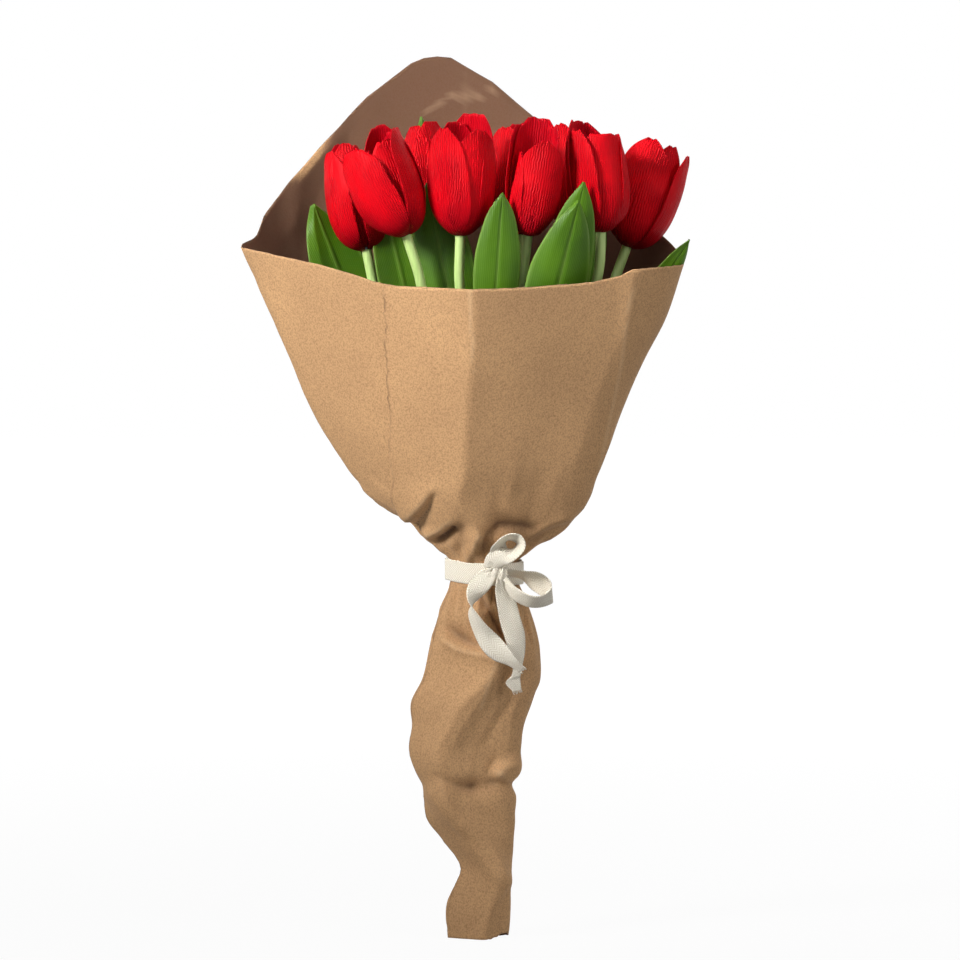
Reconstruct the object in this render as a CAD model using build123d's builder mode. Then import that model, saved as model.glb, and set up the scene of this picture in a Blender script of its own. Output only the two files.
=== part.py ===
from build123d import *
import os
from math import cos, radians, sin, sqrt

# A bouquet of nine artificial tulips rolled in one sheet of kraft paper, with a cotton tape tied in a
# bow round the waist. The origin is the centre of the tie, +Z runs up the stems and the bow faces -Y.

# Sizes are in millimetres, and a name that ends in share or shares holds a part of the size it follows.

# Stems and the wires in them
stem_diameter = 5.4
wire_diameter = 1.5
wire_clearance = 0.05
bundle_gap = 0.3
bundle_offset = -2.0
stem_length_below_tie = 147.0
stem_bend_height = 9.0
stem_bend_radius = 60.0
stem_neck_length = 22.0
wire_inset = 2.0

# Where the heads stand
bunch_half_width = 80.0
bunch_half_depth = 30.0
bloom_foot_height = 182.0

# Heads
petal_thickness = 0.6
petal_layer_gap = 0.3
hub_radius = 4.0
bloom_radius = 17.5
bloom_belly_height = 24.0
bloom_mouth_radius = 9.5
outer_petal_height = 60.0
inner_petal_height = 63.0
petal_half_width = 14.6
petal_belly_height = 27.0
petal_shoulder_height = 50.0
petal_tip_half_width = 2.0
petal_shoulder_share = 0.8
petal_waist_share = 0.9
pistil_radius = 2.6
pistil_height = 17.0
pistil_bulb_share = 0.45
pistil_waist_share = 0.6
stigma_radius = 2.0
stigma_height = 4.0
peg_length = 8.0

# Leaves
leaf_width = 36.0
leaf_thickness = 0.7
leaf_cup_radius = 32.0
leaf_foot_height = 14.0
leaf_foot_wall = 0.9
leaf_foot_clearance = 0.1
leaf_clip_height = 42.0
leaf_bow = 9.0

# Kraft paper sheet
paper_thickness = 0.5
neck_width = 40.0
neck_depth = 30.0
sleeve_length = 198.0
sleeve_width = 64.0
mouth_width = 238.0
mouth_depth = 126.0
mouth_height = 176.0
peak_height = 276.0
overrun = 5.0

# Cotton tape
tape_width = 11.6
tape_thickness = 0.8
tape_clearance = 0.15
knot_width = 8.0
knot_height = 11.0
knot_depth = 7.0
knot_rounding = 2.2
knot_offset = 7.0
loop_length = 30.0
loop_opening = 11.0
top_loop_length = 25.0
top_loop_opening = 9.0
tail_length = 47.0
tail_stand_off = 6.0
loop_belly_share = 0.45
side_loop_tilt = 50
side_loop_angle = -18
side_loop_lean = 12
top_loop_tilt = -40
top_loop_angle = 80
top_loop_lean = 48

os.makedirs("parts", exist_ok=True)


def write(piece, name):
    """Labels a finished sub-part and writes its STEP file."""
    piece.part.label = name
    export_step(piece.part, f"parts/{name}.step")


# Each tulip: its column and row in the tied bundle, its foot as shares of the bunch's half width, half
# depth and height, its lean in degrees to the right and to the back, and its turn about its own axis.
tulip_shares = {
    1: (-1.5, 0, -0.80, 0.20, 0.956, -11, 3, 20),
    2: (-1.0, -1, -0.525, -0.93, 1.00, -18, -3, -25),
    3: (-0.5, 0, -0.41, 0.60, 0.99, -3, 4, 50),
    4: (0.0, -1, -0.165, -0.93, 1.00, 2, -2, 28),
    5: (0.5, 0, 0.235, 0.33, 1.00, -1, 2, 0),
    6: (1.0, -1, 0.285, -0.93, 1.00, 7, -3, 12),
    7: (0.0, 1, 0.63, 1.00, 1.00, 3, 5, 35),
    8: (1.5, 0, 0.775, -0.60, 1.01, 1, -2, -8),
    9: (1.0, 1, 0.96, 0.50, 0.965, 20, 2, 15),
}

# Each leaf, by its tulip: its tip as shares of the bunch's half width, of the mouth's half depth and of
# the heads' height, its width as a share of the widest leaf, its bow as a share of the largest, and the
# way its back faces in degrees from +X towards +Y.
leaf_shares = {
    1: (-1.16, 0.286, 1.09, 1.05, 0.9, 122),
    2: (-0.67, -0.143, 1.05, 0.55, 0.3, 150),
    3: (-0.45, 0.633, 1.33, 0.80, 0.9, 95),
    4: (0.11, -0.667, 1.12, 0.70, 0.9, -82),
    5: (-0.27, -0.048, 1.18, 0.90, 0.2, -100),
    6: (0.63, -0.771, 1.10, 1.00, 0.9, -72),
    7: (0.81, 0.262, 1.03, 0.55, 0.4, 5),
    8: (0.69, -0.590, 1.15, 0.72, 0.1, -95),
    9: (1.34, -0.062, 1.0, 0.60, 0.3, -45),
}

# A leaf's outline from foot to tip: the share of its length, then of its width
leaf_outline_shares = ((0, 0.16), (0.15, 0.26), (0.4, 0.72), (0.64, 1.0), (0.82, 0.78), (0.94, 0.34), (1, 0.05))

# The rolled sheet's outline, as shares of its half width and half depth: each crease is followed by the
# middle of the arc to the next one. Left side, front crease, right front crease, right side, back.
outline_shares = (
    (-1, 0), (-0.62, -0.68), (-0.08, -1), (0.32, -0.94), (0.66, -0.72), (0.88, -0.40),
    (1, 0), (0.66, 0.74), (0, 1), (-0.66, 0.74),
)

# Sections of the sleeve below the tie: height as a share of its length, then its left side, right side
# and depth as shares of its width
sleeve_shares = (
    (-1.000, -0.32, 0.19, 0.30),
    (-0.884, -0.29, 0.22, 0.34),
    (-0.798, -0.21, 0.23, 0.38),
    (-0.672, -0.49, 0.25, 0.50),
    (-0.485, -0.63, 0.30, 0.56),
    (-0.359, -0.62, 0.39, 0.58),
    (-0.253, -0.50, 0.47, 0.58),
    (-0.131, -0.41, 0.41, 0.52),
)

# Sections of the flare above the tie: height as a share of the mouth's height, then its left side,
# right side and depth as shares of the mouth's width and depth
flare_shares = (
    (0.0625, -0.107, 0.120, 0.30),
    (0.159, -0.181, 0.200, 0.45),
    (0.375, -0.340, 0.279, 0.65),
    (0.653, -0.441, 0.361, 0.82),
    (0.966, -0.542, 0.4445, 1.0),
    (1.62, -0.748, 0.655, 1.48),
)

# Edges of the sheet seen from the front, as shares of the mouth's width and the peak's height: the rim
# across the front and the standing corner at the back, both from left to right
rim_shares = (
    (-0.560, 0.636), (-0.476, 0.621), (-0.374, 0.608), (-0.307, 0.596), (-0.231, 0.577), (-0.191, 0.574),
    (-0.034, 0.567), (0.101, 0.569), (0.238, 0.577), (0.327, 0.590), (0.334, 0.600), (0.450, 0.601),
    (0.470, 0.601),
)
peak_shares = (
    (-0.560, 0.636), (-0.521, 0.643), (-0.501, 0.686), (-0.440, 0.750), (-0.363, 0.828), (-0.268, 0.914),
    (-0.159, 0.984), (-0.128, 0.997), (-0.102, 1.000), (-0.075, 0.991), (-0.039, 0.975), (0.023, 0.943),
    (0.125, 0.870), (0.402, 0.648), (0.440, 0.615), (0.450, 0.601), (0.470, 0.601),
)

# The tails of the tape, from the knot down, as shares of their length
left_tail_shares = ((-0.09, -0.05), (-0.29, -0.36), (-0.18, -0.66), (0.22, -1.08))
right_tail_shares = ((0.04, -0.05), (0.12, -0.45), (0.22, -0.90), (0.20, -1.36))

# Bundle: hexagonal packing, so the columns stand one pitch apart and the rows sqrt(3) / 2 of it
bundle_pitch = stem_diameter + bundle_gap
bundle_row_pitch = bundle_pitch * sqrt(3) / 2


class Tulip:
    """The places of one tulip: the corners of its stem's path and the axis of its head."""

    def __init__(self, number):
        column, row, right, back, up, lean_right, lean_back, turn = tulip_shares[number]
        x = bundle_offset + column * bundle_pitch
        y = row * bundle_row_pitch
        self.axis = Vector(sin(radians(lean_right)), sin(radians(lean_back)), cos(radians(lean_right)))
        self.axis = self.axis.normalized()
        self.foot = Vector(x, y, -stem_length_below_tie)
        self.bend = Vector(x, y, stem_bend_height)
        self.top = Vector(right * bunch_half_width, back * bunch_half_depth, up * bloom_foot_height)
        self.neck = self.top - self.axis * stem_neck_length
        self.fan = (self.neck - self.bend).normalized()
        self.turn = turn

    def seat(self):
        """Plane at the head's foot, whose normal is the head's axis."""
        across = self.axis.cross(Vector(0, 1, 0)).normalized()
        turned = across * cos(radians(self.turn)) + self.axis.cross(across) * sin(radians(self.turn))
        return Plane(origin=self.top, x_dir=turned, z_dir=self.axis)

    def on_fan(self, height):
        """The stem's centre at a height on its straight stretch above the tie."""
        return self.bend + self.fan * ((height - stem_bend_height) / self.fan.Z)


tulips = {number: Tulip(number) for number in tulip_shares}

# Stems: plastic tubes from their cut ends in the sleeve, through the tie, to the feet of the heads
for number, tulip in tulips.items():
    with BuildPart() as stem:
        with BuildLine() as stem_path:
            FilletPolyline(tulip.foot, tulip.bend, tulip.neck, tulip.top, radius=stem_bend_radius)
        with BuildSketch(Plane.XY.offset(-stem_length_below_tie)):
            with Locations((tulip.foot.X, tulip.foot.Y)):
                Circle(stem_diameter / 2)
                Circle(wire_diameter / 2 + wire_clearance, mode=Mode.SUBTRACT)
        sweep(path=stem_path.wires()[0])
    write(stem, f"stem_{number}")

# Stem wires: one in each stem, standing out of its top as the peg that carries the head
with BuildPart() as stem_wires:
    for tulip in tulips.values():
        start = tulip.foot + Vector(0, 0, wire_inset)
        end = tulip.top + tulip.axis * peg_length
        with BuildLine() as wire_path:
            FilletPolyline(start, tulip.bend, tulip.neck, end, radius=stem_bend_radius)
        with BuildSketch(Plane.XY.offset(start.Z)):
            with Locations((start.X, start.Y)):
                Circle(wire_diameter / 2)
        sweep(path=wire_path.wires()[0])
write(stem_wires, "stem_wires")


def petal_layer(layer_number, height, first_angle):
    """Three petals cut from one cloth: a cup of revolution trimmed to three petal outlines.

    Layer 0 is the outermost, and each further one lies inside it, one cloth and one gap in.
    """
    inset = layer_number * (petal_thickness + petal_layer_gap)
    hole = wire_diameter / 2 + wire_clearance
    foot = (hub_radius, inset)
    belly = (bloom_radius - inset, inset + bloom_belly_height)
    mouth = (bloom_mouth_radius - inset, inner_petal_height)
    inner_foot = (hub_radius, inset + petal_thickness)
    inner_belly = (bloom_radius - inset - petal_thickness, inset + bloom_belly_height)
    inner_mouth = (bloom_mouth_radius - inset - petal_thickness, inner_petal_height)
    with BuildPart() as layer:
        with BuildSketch(Plane.XZ):
            with BuildLine():
                Line((hole, inset), foot)
                TangentArc(belly, foot, tangent=(0, -1))
                TangentArc(belly, mouth, tangent=(0, 1))
                Line(mouth, inner_mouth)
                TangentArc(inner_belly, inner_mouth, tangent=(0, 1))
                TangentArc(inner_belly, inner_foot, tangent=(0, -1))
                Line(inner_foot, (hole, inset + petal_thickness))
                Line((hole, inset + petal_thickness), (hole, inset))
            make_face()
        revolve(axis=Axis.Z)
        add(petal_outlines(inset, height, first_angle), mode=Mode.INTERSECT)
    return layer.part


def petal_outlines(inset, height, first_angle):
    """Three petal shapes that run outwards from the axis, and the disc that joins them."""
    widest = (petal_half_width - inset, inset + petal_belly_height)
    shoulder = ((petal_half_width - inset) * petal_shoulder_share, petal_shoulder_height)
    start = (hub_radius * petal_waist_share, -overrun)
    with BuildPart() as outlines:
        for turn in range(3):
            with BuildSketch(Plane.XZ.rotated((0, 0, first_angle + turn * 360 / 3))):
                with BuildLine():
                    TangentArc(widest, start, tangent=(0, -1))
                    ThreePointArc(widest, shoulder, (petal_tip_half_width, height))
                    Line((petal_tip_half_width, height), (0, height))
                    Line((0, height), (0, -overrun))
                    Line((0, -overrun), start)
                make_face()
                mirror(about=Plane.YZ)
            extrude(amount=bloom_radius + overrun)
        with BuildSketch(Plane.XY):
            Circle(hub_radius)
        extrude(amount=inset + 2 * petal_thickness)
    return outlines.part


outer_form = petal_layer(0, outer_petal_height, 0)
inner_form = petal_layer(1, inner_petal_height, 180)

# Pistil: a cap bored for the peg, with a bulb and three stigma lobes
with BuildPart() as pistil_form:
    pistil_foot = 2 * (petal_thickness + petal_layer_gap)
    with BuildSketch(Plane.XZ):
        with BuildLine():
            bulb = (pistil_radius, pistil_foot + pistil_height * pistil_bulb_share)
            waist = (pistil_radius * pistil_waist_share, pistil_foot + pistil_height)
            Line((0, pistil_foot), (pistil_radius * pistil_waist_share, pistil_foot))
            ThreePointArc((pistil_radius * pistil_waist_share, pistil_foot), bulb, waist)
            Line(waist, (0, pistil_foot + pistil_height))
            Line((0, pistil_foot + pistil_height), (0, pistil_foot))
        make_face()
    revolve(axis=Axis.Z)
    with BuildSketch(Plane.XY.offset(pistil_foot + pistil_height)):
        with PolarLocations(stigma_radius / 2, 3):
            SlotCenterToCenter(stigma_radius, stigma_radius)
    extrude(amount=stigma_height / 2, both=True)
    with BuildSketch(Plane.XY.offset(pistil_foot)):
        Circle(wire_diameter / 2 + wire_clearance)
    extrude(amount=peg_length - pistil_foot + petal_layer_gap, mode=Mode.SUBTRACT)

# Heads: the same three pieces on every stem, turned as each tulip stands
for number, tulip in tulips.items():
    forms = {"outer_petals": outer_form, "inner_petals": inner_form, "pistil": pistil_form.part}
    for name, form in forms.items():
        with BuildPart() as head_piece:
            with Locations(tulip.seat().location):
                add(form)
        write(head_piece, f"{name}_{number}")


# Leaves: a blade cupped across its width and bowed along it, on a tube that slips over the stem
for number, (right, back, up, width, bow, heading) in leaf_shares.items():
    tulip = tulips[number]
    clip = tulip.on_fan(leaf_clip_height)
    tip = Vector(right * bunch_half_width, back * mouth_depth / 2, up * bloom_foot_height)
    length = (tip - clip).length
    rise = (tip - clip).normalized()
    facing = Vector(cos(radians(heading)), sin(radians(heading)), 0)
    across = facing.cross(rise).normalized()
    foot_plane = Plane(origin=clip, z_dir=tulip.fan)
    sleeve_radius = stem_diameter / 2 + leaf_foot_clearance
    with BuildPart() as leaf:
        for along, wide in leaf_outline_shares:
            half = wide * width * leaf_width / 2
            middle = sleeve_radius * (1 - along) + leaf_bow * bow * 4 * along * (1 - along)
            edge = middle - half**2 / (2 * leaf_cup_radius)
            with BuildSketch(Plane(origin=clip + rise * length * along, x_dir=across, z_dir=rise)):
                with BuildLine():
                    ThreePointArc((-half, edge), (0, middle), (half, edge))
                    Line((half, edge), (half, edge + leaf_thickness))
                    ThreePointArc(
                        (half, edge + leaf_thickness),
                        (0, middle + leaf_thickness),
                        (-half, edge + leaf_thickness),
                    )
                    Line((-half, edge + leaf_thickness), (-half, edge))
                make_face()
        loft()
        with BuildSketch(foot_plane):
            Circle(sleeve_radius + leaf_foot_wall)
        extrude(amount=leaf_foot_height)
        with BuildSketch(foot_plane.offset(-overrun)):
            Circle(sleeve_radius)
        extrude(amount=length, mode=Mode.SUBTRACT)
    write(leaf, f"leaf_{number}")


def sheet_outline(left, right, depth):
    """One closed outline of the rolled sheet: creased at both sides and twice across the front."""
    centre = (left + right) / 2
    half_width = (right - left) / 2
    half_depth = depth / 2
    points = [(centre + x * half_width, y * half_depth) for x, y in outline_shares]
    for first in range(0, len(points), 2):
        ThreePointArc(points[first], points[first + 1], points[(first + 2) % len(points)])


def rolled_sheet(inset, extra):
    """The solid inside the rolled sheet's outline, from the sleeve's cut end to above the peak."""
    sections = [
        (z * sleeve_length, left * sleeve_width, right * sleeve_width, deep * sleeve_width)
        for z, left, right, deep in sleeve_shares
    ]
    neck_height = tape_width / 2 + tape_clearance
    sections += [(z, -neck_width / 2, neck_width / 2, neck_depth) for z in (-neck_height, neck_height)]
    sections += [
        (z * mouth_height, left * mouth_width, right * mouth_width, deep * mouth_depth)
        for z, left, right, deep in flare_shares
    ]
    with BuildPart() as body:
        for number, (z, left, right, depth) in enumerate(sections):
            stretch = {0: -extra, len(sections) - 1: extra}.get(number, 0)
            with BuildSketch(Plane.XY.offset(z + stretch)):
                with BuildLine():
                    sheet_outline(left + inset, right - inset, depth - 2 * inset)
                make_face()
        loft(ruled=True)
    return body.part


# Kraft wrap: the rolled sheet, its front cut to the rim and its back to the standing corner
with BuildPart() as kraft_wrap:
    add(rolled_sheet(0, 0))
    add(rolled_sheet(paper_thickness, overrun), mode=Mode.SUBTRACT)
    top = 2 * peak_height
    for shares, depth in ((rim_shares, mouth_depth), (peak_shares, -mouth_depth)):
        edge = [(x * mouth_width, z * peak_height) for x, z in shares]
        with BuildSketch(Plane.XZ):
            with BuildLine():
                Polyline(*edge, (mouth_width, edge[-1][1]), (mouth_width, top), (-mouth_width, top),
                         (-mouth_width, edge[0][1]), edge[0])
            make_face()
        extrude(amount=depth, mode=Mode.SUBTRACT)
write(kraft_wrap, "kraft_wrap")


def tape_loop(plane, length, opening):
    """A loop of tape: a drop-shaped ring whose plane's x runs from the knot to the loop's end."""
    with BuildPart() as loop:
        with BuildSketch(plane):
            with BuildLine():
                half = opening / 2
                end = (length - half, half)
                ThreePointArc((0, 0), (length * loop_belly_share, half), end)
                ThreePointArc(end, (length, 0), (length - half, -half))
                ThreePointArc((length - half, -half), (length * loop_belly_share, -half), (0, 0))
            make_face()
            offset(amount=-tape_thickness, mode=Mode.SUBTRACT)
        extrude(amount=tape_width / 2, both=True)
    return loop.part


# Cotton tape: one length, with its band, knot, two loops and two tails in one piece
front_of_neck = neck_depth / 2 + tape_clearance
knot_centre = Vector(knot_offset, -front_of_neck - knot_depth / 2, 0)
with BuildPart() as cotton_tape:
    with BuildSketch(Plane.XY.offset(-tape_width / 2)):
        for reach, mode in ((tape_clearance + tape_thickness, Mode.ADD), (tape_clearance, Mode.SUBTRACT)):
            with BuildLine():
                sheet_outline(-neck_width / 2 - reach, neck_width / 2 + reach, neck_depth + 2 * reach)
            make_face(mode=mode)
    extrude(amount=tape_width)
    with BuildSketch(Plane.XZ.offset(front_of_neck)):
        with Locations((knot_offset, 0)):
            RectangleRounded(knot_width, knot_height, knot_rounding)
    extrude(amount=knot_depth)
    for tilt, spin, lean, length, opening in (
        (side_loop_tilt, side_loop_angle, side_loop_lean, loop_length, loop_opening),
        (top_loop_tilt, top_loop_angle, top_loop_lean, top_loop_length, top_loop_opening),
    ):
        flat = Vector(cos(radians(spin)), 0, sin(radians(spin)))
        along = flat * cos(radians(lean)) - Vector(0, sin(radians(lean)), 0)
        outward = flat * -sin(radians(lean)) - Vector(0, cos(radians(lean)), 0)
        across = outward * cos(radians(tilt)) + along.cross(outward) * -sin(radians(tilt))
        add(tape_loop(Plane(origin=knot_centre, x_dir=along, z_dir=across), length, opening))
    for level, shares in enumerate((left_tail_shares, right_tail_shares)):
        with BuildSketch(Plane.XZ.offset(front_of_neck + tail_stand_off - level * 2 * tape_thickness)):
            with BuildLine():
                Spline([(knot_offset + x * tail_length, z * tail_length) for x, z in shares])
            trace(line_width=tape_width)
        extrude(amount=tape_thickness)
write(cotton_tape, "cotton_tape")
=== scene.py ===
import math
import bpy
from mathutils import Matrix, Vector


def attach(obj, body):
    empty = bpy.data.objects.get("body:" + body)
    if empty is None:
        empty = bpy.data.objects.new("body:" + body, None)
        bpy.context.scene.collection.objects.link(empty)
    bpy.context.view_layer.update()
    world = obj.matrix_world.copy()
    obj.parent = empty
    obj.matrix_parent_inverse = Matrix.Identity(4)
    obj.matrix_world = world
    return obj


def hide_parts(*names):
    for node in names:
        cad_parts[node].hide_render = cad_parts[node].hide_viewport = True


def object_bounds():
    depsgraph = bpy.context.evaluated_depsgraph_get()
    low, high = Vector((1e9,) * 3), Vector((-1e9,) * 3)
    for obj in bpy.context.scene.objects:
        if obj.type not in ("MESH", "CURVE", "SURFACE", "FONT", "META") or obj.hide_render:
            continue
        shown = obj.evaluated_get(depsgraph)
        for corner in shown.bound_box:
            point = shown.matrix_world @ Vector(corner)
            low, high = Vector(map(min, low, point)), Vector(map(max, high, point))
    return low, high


bl_info = {
    "name": "Tulip bouquet in kraft paper",
    "version": (1, 0, 0),
    "blender": (4, 5, 0),
    "location": "View3D > Sidebar > Bouquet",
    "description": "Cloth tulips on plastic stems, rolled in kraft paper and tied with cotton tape",
    "category": "Add Mesh",
}

import bpy
import numpy as np
from bpy.props import FloatProperty, FloatVectorProperty, IntProperty, PointerProperty
from mathutils import Vector

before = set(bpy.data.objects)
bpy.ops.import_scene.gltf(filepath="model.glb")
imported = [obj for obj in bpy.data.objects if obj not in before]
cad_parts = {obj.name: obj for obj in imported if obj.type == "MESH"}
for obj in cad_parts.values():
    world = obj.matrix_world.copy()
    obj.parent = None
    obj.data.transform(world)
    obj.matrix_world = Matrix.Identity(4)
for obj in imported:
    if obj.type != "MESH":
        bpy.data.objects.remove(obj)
cad_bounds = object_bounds()

# Tables and named lengths are in millimetres unless they say metres, and MM takes them to metres.
MM = 0.001

# Each tulip: column and row of its stem in the bundle, the foot of its head, its lean to the right and
# to the back in degrees.
TULIPS = {
    1: (-1.5, 0, (-64.0, 6.0, 174.0), -11, 3),
    2: (-1.0, -1, (-42.0, -27.9, 182.0), -18, -3),
    3: (-0.5, 0, (-32.8, 18.0, 180.2), -3, 4),
    4: (0.0, -1, (-13.2, -27.9, 182.0), 2, -2),
    5: (0.5, 0, (18.8, 9.9, 182.0), -1, 2),
    6: (1.0, -1, (22.8, -27.9, 182.0), 7, -3),
    7: (0.0, 1, (50.4, 30.0, 182.0), 3, 5),
    8: (1.5, 0, (62.0, -18.0, 183.8), 1, -2),
    9: (1.0, 1, (76.8, 15.0, 175.6), 20, 2),
}

# Each head's petals, the three outer ones first: the way the petal faces in degrees from the front
# towards the right, its tip to the right of and above the head's foot, its width as a share of the
# usual one and how blunt its end is from 0 to 1.
PETALS = {
    1: ((-60, -19.6, 52.4, 0.95, 0.2), (65, -7.0, 55.8, 1.0, 0.2), (185, -14.0, 57.0, 1.0, 0.2),
        (5, -12.0, 56.9, 0.95, 0.1), (125, -8.0, 55.0, 0.9, 0.1), (-110, -18.0, 52.0, 0.9, 0.1)),
    2: ((-30, -28.5, 44.5, 0.95, 0.5), (75, -6.0, 57.2, 1.05, 0.4), (200, -15.4, 58.0, 0.95, 0.3),
        (20, -12.0, 50.0, 0.85, 0.3), (135, -8.0, 55.0, 0.9, 0.3), (-95, -20.0, 45.0, 0.8, 0.1)),
    3: ((-45, -5.6, 60.0, 0.95, 0.3), (45, 3.5, 62.6, 1.0, 0.3), (180, -3.0, 58.0, 1.0, 0.2),
        (0, -1.0, 56.0, 0.90, 0.2), (110, 7.0, 57.0, 0.9, 0.2), (-110, -8.0, 55.0, 0.9, 0.2)),
    4: ((-34, -8.4, 57.0, 0.97, 0.1), (32, 10.2, 55.7, 1.04, 0.25), (160, 7.5, 65.0, 1.05, 0.5),
        (0, -1.0, 46.0, 0.80, 0.2), (100, 12.0, 52.0, 0.9, 0.2), (-150, -3.0, 60.5, 0.9, 0.4)),
    5: ((-42, -9.0, 57.8, 1.15, 0.2), (60, 4.0, 55.0, 0.9, 0.2), (190, 0.0, 60.0, 1.0, 0.3),
        (0, -4.0, 56.7, 0.85, 0.1), (120, 2.5, 58.0, 0.9, 0.2), (-110, -8.0, 55.0, 0.9, 0.2)),
    6: ((6, 9.7, 49.8, 1.0, 0.0), (120, 14.0, 57.8, 0.8, 0.3), (-130, -4.0, 59.0, 0.8, 0.3),
        (-80, -4.0, 44.0, 0.70, 0.3), (60, 12.0, 47.0, 0.7, 0.2), (180, 6.0, 62.6, 1.0, 0.5)),
    7: ((-30, -9.2, 60.0, 0.95, 0.1), (90, 7.0, 54.0, 0.9, 0.2), (210, -2.0, 56.0, 0.9, 0.2),
        (30, 2.0, 54.0, 0.90, 0.2), (150, 4.0, 56.0, 0.9, 0.2), (-90, -7.0, 54.0, 0.9, 0.2)),
    8: ((18, 1.8, 52.5, 1.0, 0.75), (-56, -13.4, 54.5, 0.98, 0.1), (180, -9.5, 58.0, 1.0, 0.1),
        (-5, -3.0, 46.0, 0.80, 0.2), (110, 9.0, 52.0, 0.9, 0.2), (-125, -13.2, 59.5, 1.0, 0.3)),
    9: ((-12, 14.1, 58.0, 1.20, 0.1), (75, 32.7, 48.3, 0.9, 0.1), (190, 16.0, 56.0, 1.0, 0.2),
        (35, 24.6, 53.9, 0.95, 0.1), (130, 24.0, 52.0, 1.0, 0.2), (-85, 0.6, 47.5, 0.9, 0.2)),
}

# The bundle of stems: its pitch, its left to right place, and the heights where the stems bend and where
# a leaf's tube starts. A stem runs straight on to this far below its head.
STEM_PITCH, BUNDLE_X = 5.7, -2.0
BEND_HEIGHT, TUBE_FOOT_HEIGHT = 9.0, 42.0
NECK_LENGTH = 22.0

# Petals: the mesh's rows and columns, how far the inner ones lie in, and how far out a petal starts.
PETAL_ROWS, PETAL_COLUMNS = 42, 26
INNER_INSET, PETAL_START = 1.4, 3.0

# The middle points of a petal's curve: how far out as shares of the belly, and how far up, the low one
# from the head's foot and the high one as a share of the tip's height.
LOW_BELLY_SHARE, HIGH_BELLY_SHARE = 1.3, 1.08
LOW_BELLY_RISE, HIGH_BELLY_RISE_SHARE = 2.0, 0.62

# A petal's arcs: the least radius, how much wider than the head they are, and the flatter tip.
LEAST_ARC, ARC_SHARE, ARC_EXTRA = 7.0, 1.12, 1.0
TIP_SHARE, TIP_FLATTENING = 0.75, 7.0

# A petal's relief: its ragged side edges, the curl and waves of its margins, its middle groove and its
# ripples, and the nicks of its top edge as a share. The two lengths take shares to millimetres, for the
# nicks and for the pattern.
RAGGED_SHARE = 0.05
MARGIN_CURL, MARGIN_WAVES = 1.6, 1.1
PETAL_GROOVE, PETAL_GROOVE_SHARE = 0.5, 0.10
PETAL_RIPPLE, RIPPLE_COUNT = 0.10, 34
TOP_NICK_SHARE, NICK_LENGTH = 0.014, 50
PETAL_PATTERN_LENGTH = 60

# How wide each head's belly is as a share of the usual one.
BELLIES = {1: 0.95, 2: 0.95, 3: 0.95, 4: 0.86, 5: 0.95, 6: 0.71, 7: 0.9, 8: 0.87, 9: 1.03}

# Each leaf: its tulip, its tip, its width as a share of the widest leaf, its bow as a share of the
# largest, the way its back faces in degrees from +X towards +Y, how far its left and right margins
# fold forwards, from -1 to 1, and where it is widest as a share of its length.
LEAVES = {
    1: (1, (-92.8, 18.0, 198.4), 0.96, 0.9, 118, 1.0, 0.1, 0.66),
    2: (2, (-56.0, 6.0, 204.0), 0.80, 0.3, 104, 0.1, 0.1, 0.66),
    3: (3, (-34.8, 40.0, 246.0), 0.80, 0.9, 95, 0.3, 0.3, 0.62),
    4: (4, (9.2, -42.0, 204.4), 0.69, 0.9, -82, -0.2, -0.2, 0.74),
    5: (5, (-31.0, -8.0, 210.0), 0.90, 1.2, -96, -0.3, -0.2, 0.70),
    6: (6, (49.8, -44.0, 200.2), 0.93, 0.5, -74, -0.2, -0.3, 0.66),
    7: (7, (64.8, 12.0, 190.0), 0.55, 0.4, -60, 0.1, 0.1, 0.70),
    8: (8, (52.6, -39.0, 210.2), 0.74, 0.3, -84, -0.2, -0.2, 0.70),
    9: (9, (110.0, -3.9, 179.5), 0.50, 0.3, -60, -0.3, 0.1, 0.72),
}

# Leaves: the mesh's rows and columns, the blade's gap from its stem at the foot, its largest bow and its
# cup, which sinks a point by the square of its distance from the midrib over this length. Then the
# margins' fold and the share of the half width where it starts.
LEAF_ROWS, LEAF_COLUMNS = 90, 30
LEAF_SEAT, LEAF_BOW, LEAF_CUP = 2.8, 9.0, 64
MARGIN_FOLD, MARGIN_SHARE = 9.0, 0.55

# The midrib's groove and its breadth, the pale rib's breadth, the blade's waves and ripples, and how much
# its side edges waver as a share.
MIDRIB_GROOVE, MIDRIB_GROOVE_SHARE, MIDRIB_SHARE = 0.7, 0.07, 0.05
LEAF_WAVES, LEAF_RIPPLE, LEAF_RIPPLE_COUNT, LEAF_WAVER_SHARE = 0.5, 0.03, 40, 0.03

# The tube round the stem: its height, the radius of its wall's middle, its wall, the radius that its
# pattern is laid out with, and its mesh.
TUBE_HEIGHT, TUBE_RADIUS, TUBE_WALL = 14.0, 3.3, 0.9
TUBE_PATTERN_RADIUS = 3
TUBE_ROWS, TUBE_COLUMNS = 8, 25

# Half the width of a leaf, and of a petal with a pointed and with a blunt end, as shares of the widest
# place, at shares of the length.
LEAF_OUTLINE = ((0, 0.16), (0.15, 0.30), (0.4, 0.74), (0.62, 1.0), (0.80, 0.84), (0.92, 0.48), (1, 0.02))
PETAL_OUTLINE = ((0, 0.26), (0.15, 0.62), (0.35, 0.93), (0.55, 1.0), (0.75, 0.88), (0.9, 0.58), (1, 0.10))
BLUNT_OUTLINE = ((0, 0.26), (0.15, 0.62), (0.35, 0.93), (0.55, 1.0), (0.75, 0.99), (0.9, 0.92), (1, 0.62))

# Where that leaf is widest, as a share of its length.
LEAF_WIDEST = 0.62

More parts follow.
